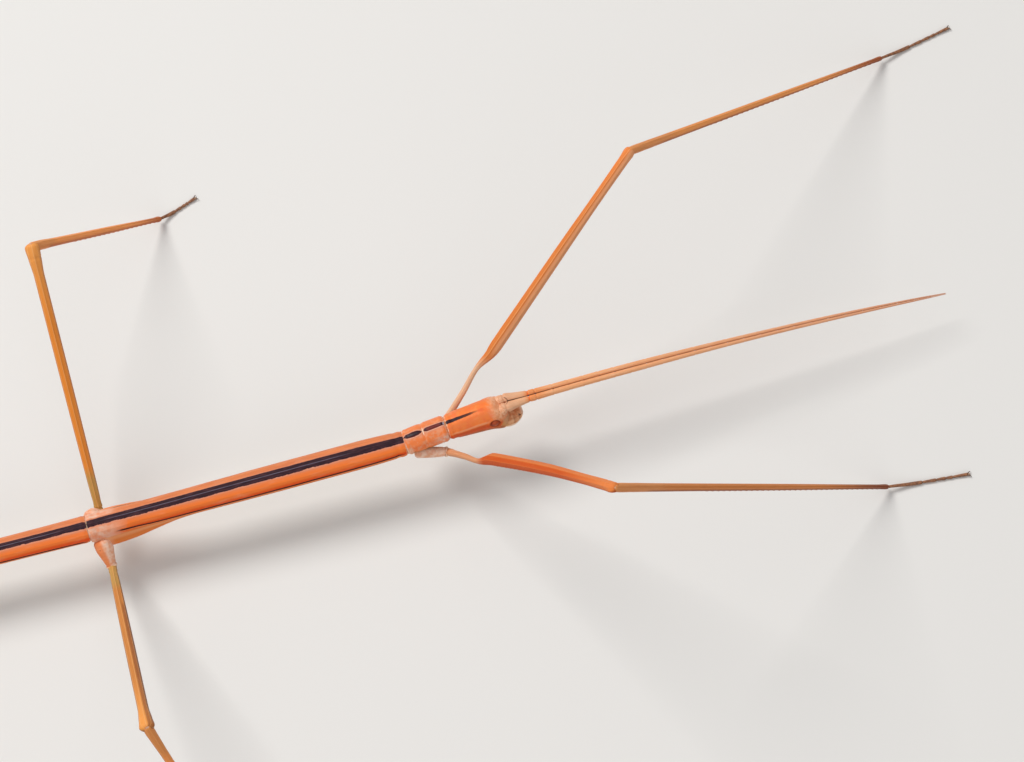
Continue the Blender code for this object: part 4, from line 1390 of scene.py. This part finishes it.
def tarsi():
    """The feet: five joints with a pad under each, then two claws and a pad between them."""
    hard = plain_paint("foot_cuticle", tone(162, 108, 72), tone(116, 76, 54), 0.55)
    soft = plain_paint("foot_pad", tone(200, 168, 138), tone(168, 130, 104), 0.7, 0.15)
    horn = plain_paint("claw_horn", tone(66, 34, 22), tone(104, 58, 34), 0.3, 0.15)
    for name, leg in LEGS.items():
        _, ankle, toe = joint_points(leg)
        length = leg.lengths[2]
        ground = Matrix.Translation((ankle.x, ankle.y, 0)) @ facing(toe - ankle)
        bm, pads, claws = new_mesh(), new_mesh(), new_mesh()
        for k, (begin, end) in enumerate(zip(TARSUS_JOINTS, TARSUS_JOINTS[1:])):
            share = np.linspace(begin, end, 30)
            spots = [ground @ Vector((s * length, 0, float(TARSUS_HEIGHT(s)))) for s in share]
            reach, run = path_run(spots)
            slim = 0.25 if k == 0 else 0.21
            stops = ((0, slim * 0.72), (0.3, slim * 0.86), (0.85, slim), (1, slim * 0.92))
            half = share_curve(0, reach, stops)
            section = outline(half, times(half, 0.92), ends=(0, reach), lips=(0.1, 0.1))
            tube(bm, along_path(spots), run, 28, section)
            if k < 4:
                pad = min(0.9, (end - begin) * length * 0.55)
                ellipsoid(pads, ground @ moved(end * length - pad * 0.42, 0, 0.115), (pad, 0.42, 0.22))
        tip = ground @ moved(TARSUS_JOINTS[-1] * length, 0, 0)
        ellipsoid(pads, tip @ moved(0.16, 0, 0.16), (0.42, 0.36, 0.26))
        for _, sign in SIDES:
            hook = ((-0.05, 0.1, 0.34), (0.22, 0.24, 0.36), (0.42, 0.36, 0.22), (0.47, 0.42, 0.035))
            spots = bent(tip, [(x, y * sign, z) for x, y, z in hook], 24)
            run = np.linspace(0, CLAW, 24)
            thick = curve((0, 0.06), (0.3, 0.055), (CLAW, 0.012))
            section = outline(thick, thick, ends=(0, CLAW), lips=(0.05, 0.012))
            tube(claws, along_path(spots), run, 14, section)
        piece(f"tarsus_joints_{name}", bm, hard, "foot_cuticle", f"tarsus_{name}")
        piece(f"tarsus_pads_{name}", pads, soft, "foot_cuticle")
        piece(f"tarsus_claws_{name}", claws, horn, "foot_cuticle")


def joint_skin():
    """The soft skin that shows between the body's plates and in the knees and hips."""
    bm = new_mesh()
    joints = [
        (COLLAR, MESO_HEADING, PRO_HEADING, 1.48, 1.36),
        (NECK, PRO_HEADING, HEAD_HEADING, 1.44, 1.34),
        (WAIST, META_HEADING, MESO_HEADING, 1.6, 1.38),
        (LOIN, ABDOMEN_HEADINGS[0], META_HEADING, 1.54, 1.34),
    ]
    for i, _, way, joint in list(abdomen_joints())[:-1]:
        wide = ABDOMEN_WIDTHS[i + 1] * 0.9
        joints.append((joint, way, way, wide, wide * 0.84))
    reach = 0.8
    run = stations(-reach, reach, 26, 0.2)
    for joint, behind, ahead, width, height in joints:
        section = outline(
            level(width), level(height), relief=lambda x, turn: 0.02 * np.cos(x * 42), ends=(-reach, reach)
        )
        tube(bm, straight(joint, heading(*behind) + heading(*ahead), run), run, 72, section)
    for name, leg in LEGS.items():
        knee, ankle, _ = joint_points(leg)
        wide = 0.94 if name.startswith("fore") else 1.08
        for joint, ball in ((knee, wide), (leg.hip, 1), (ankle, 0.56)):
            ellipsoid(bm, Matrix.Translation(joint), (ball, ball, ball))
    piece("joint_skin", bm, soft_paint(), "joint_skin")


# --- stage ----------------------------------------------------------------------------------------

# the camera's angles, and in millimetres its distance, its target beside the waist and its lens
VIEW_AZIMUTH, VIEW_ELEVATION, VIEW_DISTANCE = -15.778, 68, 380.245
VIEW_TARGET = (58.653, 7.886, 0)
LENS, SENSOR = 100, 36

CLIP = (0.01, 20)  # the nearest and farthest that the camera sees, in metres
FLOOR_RADIUS = 4  # in metres
SKY = (0.93, 0.95, 1, 1)


def floor():
    bm = bmesh.new()
    bmesh.ops.create_circle(bm, cap_ends=True, segments=96, radius=FLOOR_RADIUS)
    mesh = bpy.data.meshes.new("floor")
    bm.to_mesh(mesh)
    bm.free()
    made = bpy.data.objects.new("floor", mesh)
    bpy.context.scene.collection.objects.link(made)
    paint = Paint("floor_paint")
    paint.colour = tuple(bpy.context.scene.stick_insect_stage.ground)
    mesh.materials.append(paint.finish(0.85, specular=0.2))


def lights():
    """A broad key light from the insect's left and rear, a fill from its right, and one overhead."""
    middle = WAIST * MM
    stage = bpy.context.scene.stick_insect_stage
    setup = (
        ("key_light", (-0.42, 0.62, 0.95), 0.55, stage.key),
        ("fill_light", (-0.15, -0.95, 0.7), 0.9, stage.fill),
        ("top_light", (0, 0, 1.3), 1.2, stage.top),
    )
    for name, offset, width, power in setup:
        lamp = bpy.data.lights.new(name, "AREA")
        lamp.shape, lamp.size, lamp.energy = "DISK", width, power
        made = bpy.data.objects.new(name, lamp)
        made.location = middle + Vector(offset)
        made.rotation_euler = (-Vector(offset)).to_track_quat("-Z", "Y").to_euler()
        bpy.context.scene.collection.objects.link(made)
    world = bpy.data.worlds.new("studio")
    world.use_nodes = True
    background = world.node_tree.nodes["Background"]
    background.inputs["Color"].default_value = SKY
    background.inputs["Strength"].default_value = stage.ambience
    bpy.context.scene.world = world
    bpy.context.scene.view_settings.view_transform = "Standard"


def camera():
    a, e = math.radians(VIEW_AZIMUTH), math.radians(VIEW_ELEVATION)
    back = Vector((math.sin(a) * math.cos(e), -math.cos(a) * math.cos(e), math.sin(e)))
    target = Vector(VIEW_TARGET) + Vector((WAIST.x, WAIST.y, 0))
    lens = bpy.data.cameras.new("camera")
    lens.lens, lens.sensor_width = LENS, SENSOR
    lens.clip_start, lens.clip_end = CLIP
    made = bpy.data.objects.new("camera", lens)
    made.location = (target + back * VIEW_DISTANCE) * MM
    made.rotation_euler = (-back).to_track_quat("-Z", "Y").to_euler()
    bpy.context.scene.collection.objects.link(made)
    bpy.context.scene.camera = made


# --- add-on ---------------------------------------------------------------------------------------


def length_setting(name, description, millimetres, most):
    return bpy.props.FloatProperty(
        name=name, description=description, default=millimetres * MM, min=0, max=most * MM, precision=5,
        unit="LENGTH",
    )


def colour_setting(name, description, *display):
    return bpy.props.FloatVectorProperty(
        name=name, description=description, default=tone(*display), min=0, max=1, size=3, subtype="COLOR"
    )


def power_setting(name, description, watts):
    return bpy.props.FloatProperty(
        name=name, description=description, default=watts, min=0, max=200, unit="POWER"
    )


class InsectSizes(bpy.types.PropertyGroup):
    """Sizes of the joints and the fine relief."""

    gap: length_setting("Plate gap", "Soft skin that shows between two plates of the body", 0.08, 0.3)
    keel: length_setting("Keel", "Height of the ridge down the back", 0.05, 0.2)
    groove: length_setting("Side groove", "Depth of the groove along each side of the thorax", 0.04, 0.2)
    rib: length_setting("Leg ribs", "Height of the ribs along the thighs and shins", 0.06, 0.15)
    tooth: length_setting("Leg teeth", "Height of the small teeth under the legs", 0.09, 0.2)
    facet: bpy.props.FloatProperty(
        name="Facets", description="How deeply the eye's facets are set off, as a share of its radius",
        default=0.01, min=0, max=0.05, subtype="FACTOR"
    )


class InsectColours(bpy.types.PropertyGroup):
    """The main colours."""

    orange: colour_setting("Orange", "Sides of the body and top of the head", 255, 128, 50)
    deep_orange: colour_setting("Deep orange", "Lower sides of the body", 242, 82, 6)
    peach: colour_setting("Peach", "Back of the body beside the stripe", 224, 140, 104)
    pink_white: colour_setting("Pinkish white", "Pale blotches and the front of the head", 240, 196, 170)
    cream: colour_setting("Cream", "Joint rims and soft skin", 244, 220, 192)
    charcoal: colour_setting("Charcoal", "The stripe down the back", 44, 19, 29)
    maroon: colour_setting("Maroon", "The bar on the front plate of the thorax", 104, 22, 14)
    brown: colour_setting("Brown", "Small spots and grooves", 92, 42, 22)
    olive: colour_setting("Olive", "Underside of the body", 170, 118, 62)
    straw: colour_setting("Straw", "The cerci", 226, 162, 76)
    eye_dark: colour_setting("Eye, dark", "Rim of the eyes", 150, 56, 24)
    eye_rust: colour_setting("Eye, rust", "Middle of the eyes", 178, 74, 28)
    fore_thigh: colour_setting("Fore thigh", "Thigh of the left fore leg", 222, 124, 56)
    deep_thigh: colour_setting("Deep thigh", "Thigh of the right fore leg", 206, 80, 0)
    fore_shin: colour_setting("Fore shin", "Shins of the fore legs", 240, 152, 80)
    thigh: colour_setting("Thigh", "Thighs of the middle and hind legs", 234, 138, 50)
    shin: colour_setting("Shin", "Shins of the middle and hind legs", 252, 154, 78)


class InsectStage(bpy.types.PropertyGroup):
    """The floor and the lights."""

    ground: colour_setting("Floor", "Colour of the floor", 232, 229, 224)
    key: power_setting("Key light", "Power of the light from the insect's left", 10.4)
    fill: power_setting("Fill light", "Power of the light from the insect's right", 2.6)
    top: power_setting("Top light", "Power of the light overhead", 2.4)
    ambience: bpy.props.FloatProperty(
        name="Ambience", description="Strength of the light from all around", default=0.3, min=0, max=2
    )


GROUPS = {
    "stick_insect_sizes": InsectSizes,
    "stick_insect_colours": InsectColours,
    "stick_insect_stage": InsectStage,
}


class STICK_INSECT_OT_thorax(bpy.types.Operator):
    """Build the three plates of the thorax"""

    bl_idname = "stick_insect.thorax"
    bl_label = "Thorax"

    def execute(self, context):
        pronotum()
        mesothorax()
        metathorax()
        return {"FINISHED"}


class STICK_INSECT_OT_abdomen(bpy.types.Operator):
    """Build the nine ringed segments of the abdomen"""

    bl_idname = "stick_insect.abdomen"
    bl_label = "Abdomen"

    def execute(self, context):
        abdomen()
        return {"FINISHED"}


class STICK_INSECT_OT_tail(bpy.types.Operator):
    """Build the plate under the tail and the two cerci"""

    bl_idname = "stick_insect.tail"
    bl_label = "Tail"

    def execute(self, context):
        tail()
        return {"FINISHED"}


class STICK_INSECT_OT_head(bpy.types.Operator):
    """Build the head capsule and the feelers' sockets"""

    bl_idname = "stick_insect.head"
    bl_label = "Head"

    def execute(self, context):
        head_capsule()
        antenna_sockets()
        return {"FINISHED"}


class STICK_INSECT_OT_eyes(bpy.types.Operator):
    """Build the two faceted eyes"""

    bl_idname = "stick_insect.eyes"
    bl_label = "Eyes"

    def execute(self, context):
        eyes()
        return {"FINISHED"}


class STICK_INSECT_OT_mouthparts(bpy.types.Operator):
    """Build the lips, jaws and palps"""

    bl_idname = "stick_insect.mouthparts"
    bl_label = "Mouthparts"

    def execute(self, context):
        mouthparts()
        return {"FINISHED"}


class STICK_INSECT_OT_feelers(bpy.types.Operator):
    """Build the two jointed feelers"""

    bl_idname = "stick_insect.feelers"
    bl_label = "Feelers"

    def execute(self, context):
        feelers()
        return {"FINISHED"}


class STICK_INSECT_OT_coxae(bpy.types.Operator):
    """Build the stubs that carry the legs"""

    bl_idname = "stick_insect.coxae"
    bl_label = "Coxae"

    def execute(self, context):
        coxae()
        return {"FINISHED"}


class STICK_INSECT_OT_femora(bpy.types.Operator):
    """Build the six ridged thighs"""

    bl_idname = "stick_insect.femora"
    bl_label = "Femora"

    def execute(self, context):
        femora()
        return {"FINISHED"}


class STICK_INSECT_OT_tibiae(bpy.types.Operator):
    """Build the six slender shins"""

    bl_idname = "stick_insect.tibiae"
    bl_label = "Tibiae"

    def execute(self, context):
        tibiae()
        return {"FINISHED"}


class STICK_INSECT_OT_tarsi(bpy.types.Operator):
    """Build the jointed feet with their pads and claws"""

    bl_idname = "stick_insect.tarsi"
    bl_label = "Feet"

    def execute(self, context):
        tarsi()
        return {"FINISHED"}


class STICK_INSECT_OT_joint_skin(bpy.types.Operator):
    """Build the soft skin between the plates and in the joints"""

    bl_idname = "stick_insect.joint_skin"
    bl_label = "Joint skin"

    def execute(self, context):
        joint_skin()
        return {"FINISHED"}


class STICK_INSECT_OT_stage(bpy.types.Operator):
    """Build the floor, the lights, the surroundings and the camera"""

    bl_idname = "stick_insect.stage"
    bl_label = "Stage"

    def execute(self, context):
        floor()
        lights()
        camera()
        return {"FINISHED"}


OPERATORS = (
    STICK_INSECT_OT_thorax,
    STICK_INSECT_OT_abdomen,
    STICK_INSECT_OT_tail,
    STICK_INSECT_OT_head,
    STICK_INSECT_OT_eyes,
    STICK_INSECT_OT_mouthparts,
    STICK_INSECT_OT_feelers,
    STICK_INSECT_OT_coxae,
    STICK_INSECT_OT_femora,
    STICK_INSECT_OT_tibiae,
    STICK_INSECT_OT_tarsi,
    STICK_INSECT_OT_joint_skin,
    STICK_INSECT_OT_stage,
)


class STICK_INSECT_PT_build(bpy.types.Panel):
    """The sizes and the build steps, in the sidebar"""

    bl_label = "Stick Insect"
    bl_space_type = "VIEW_3D"
    bl_region_type = "UI"
    bl_category = "Stick Insect"

    def draw(self, context):
        for name, group in GROUPS.items():
            box = self.layout.box()
            for setting in group.__annotations__:
                box.prop(getattr(context.scene, name), setting)
        for step in OPERATORS:
            self.layout.operator(step.bl_idname)


CLASSES = (*GROUPS.values(), *OPERATORS, STICK_INSECT_PT_build)


def register():
    for item in CLASSES:
        bpy.utils.register_class(item)
    for name, group in GROUPS.items():
        setattr(bpy.types.Scene, name, bpy.props.PointerProperty(type=group))


def unregister():
    for name in GROUPS:
        delattr(bpy.types.Scene, name)
    for item in reversed(CLASSES):
        bpy.utils.unregister_class(item)


def main():
    register()
    for step in OPERATORS:
        getattr(bpy.ops.stick_insect, step.bl_idname.split(".")[1])()


if __name__ == "__main__":
    main()
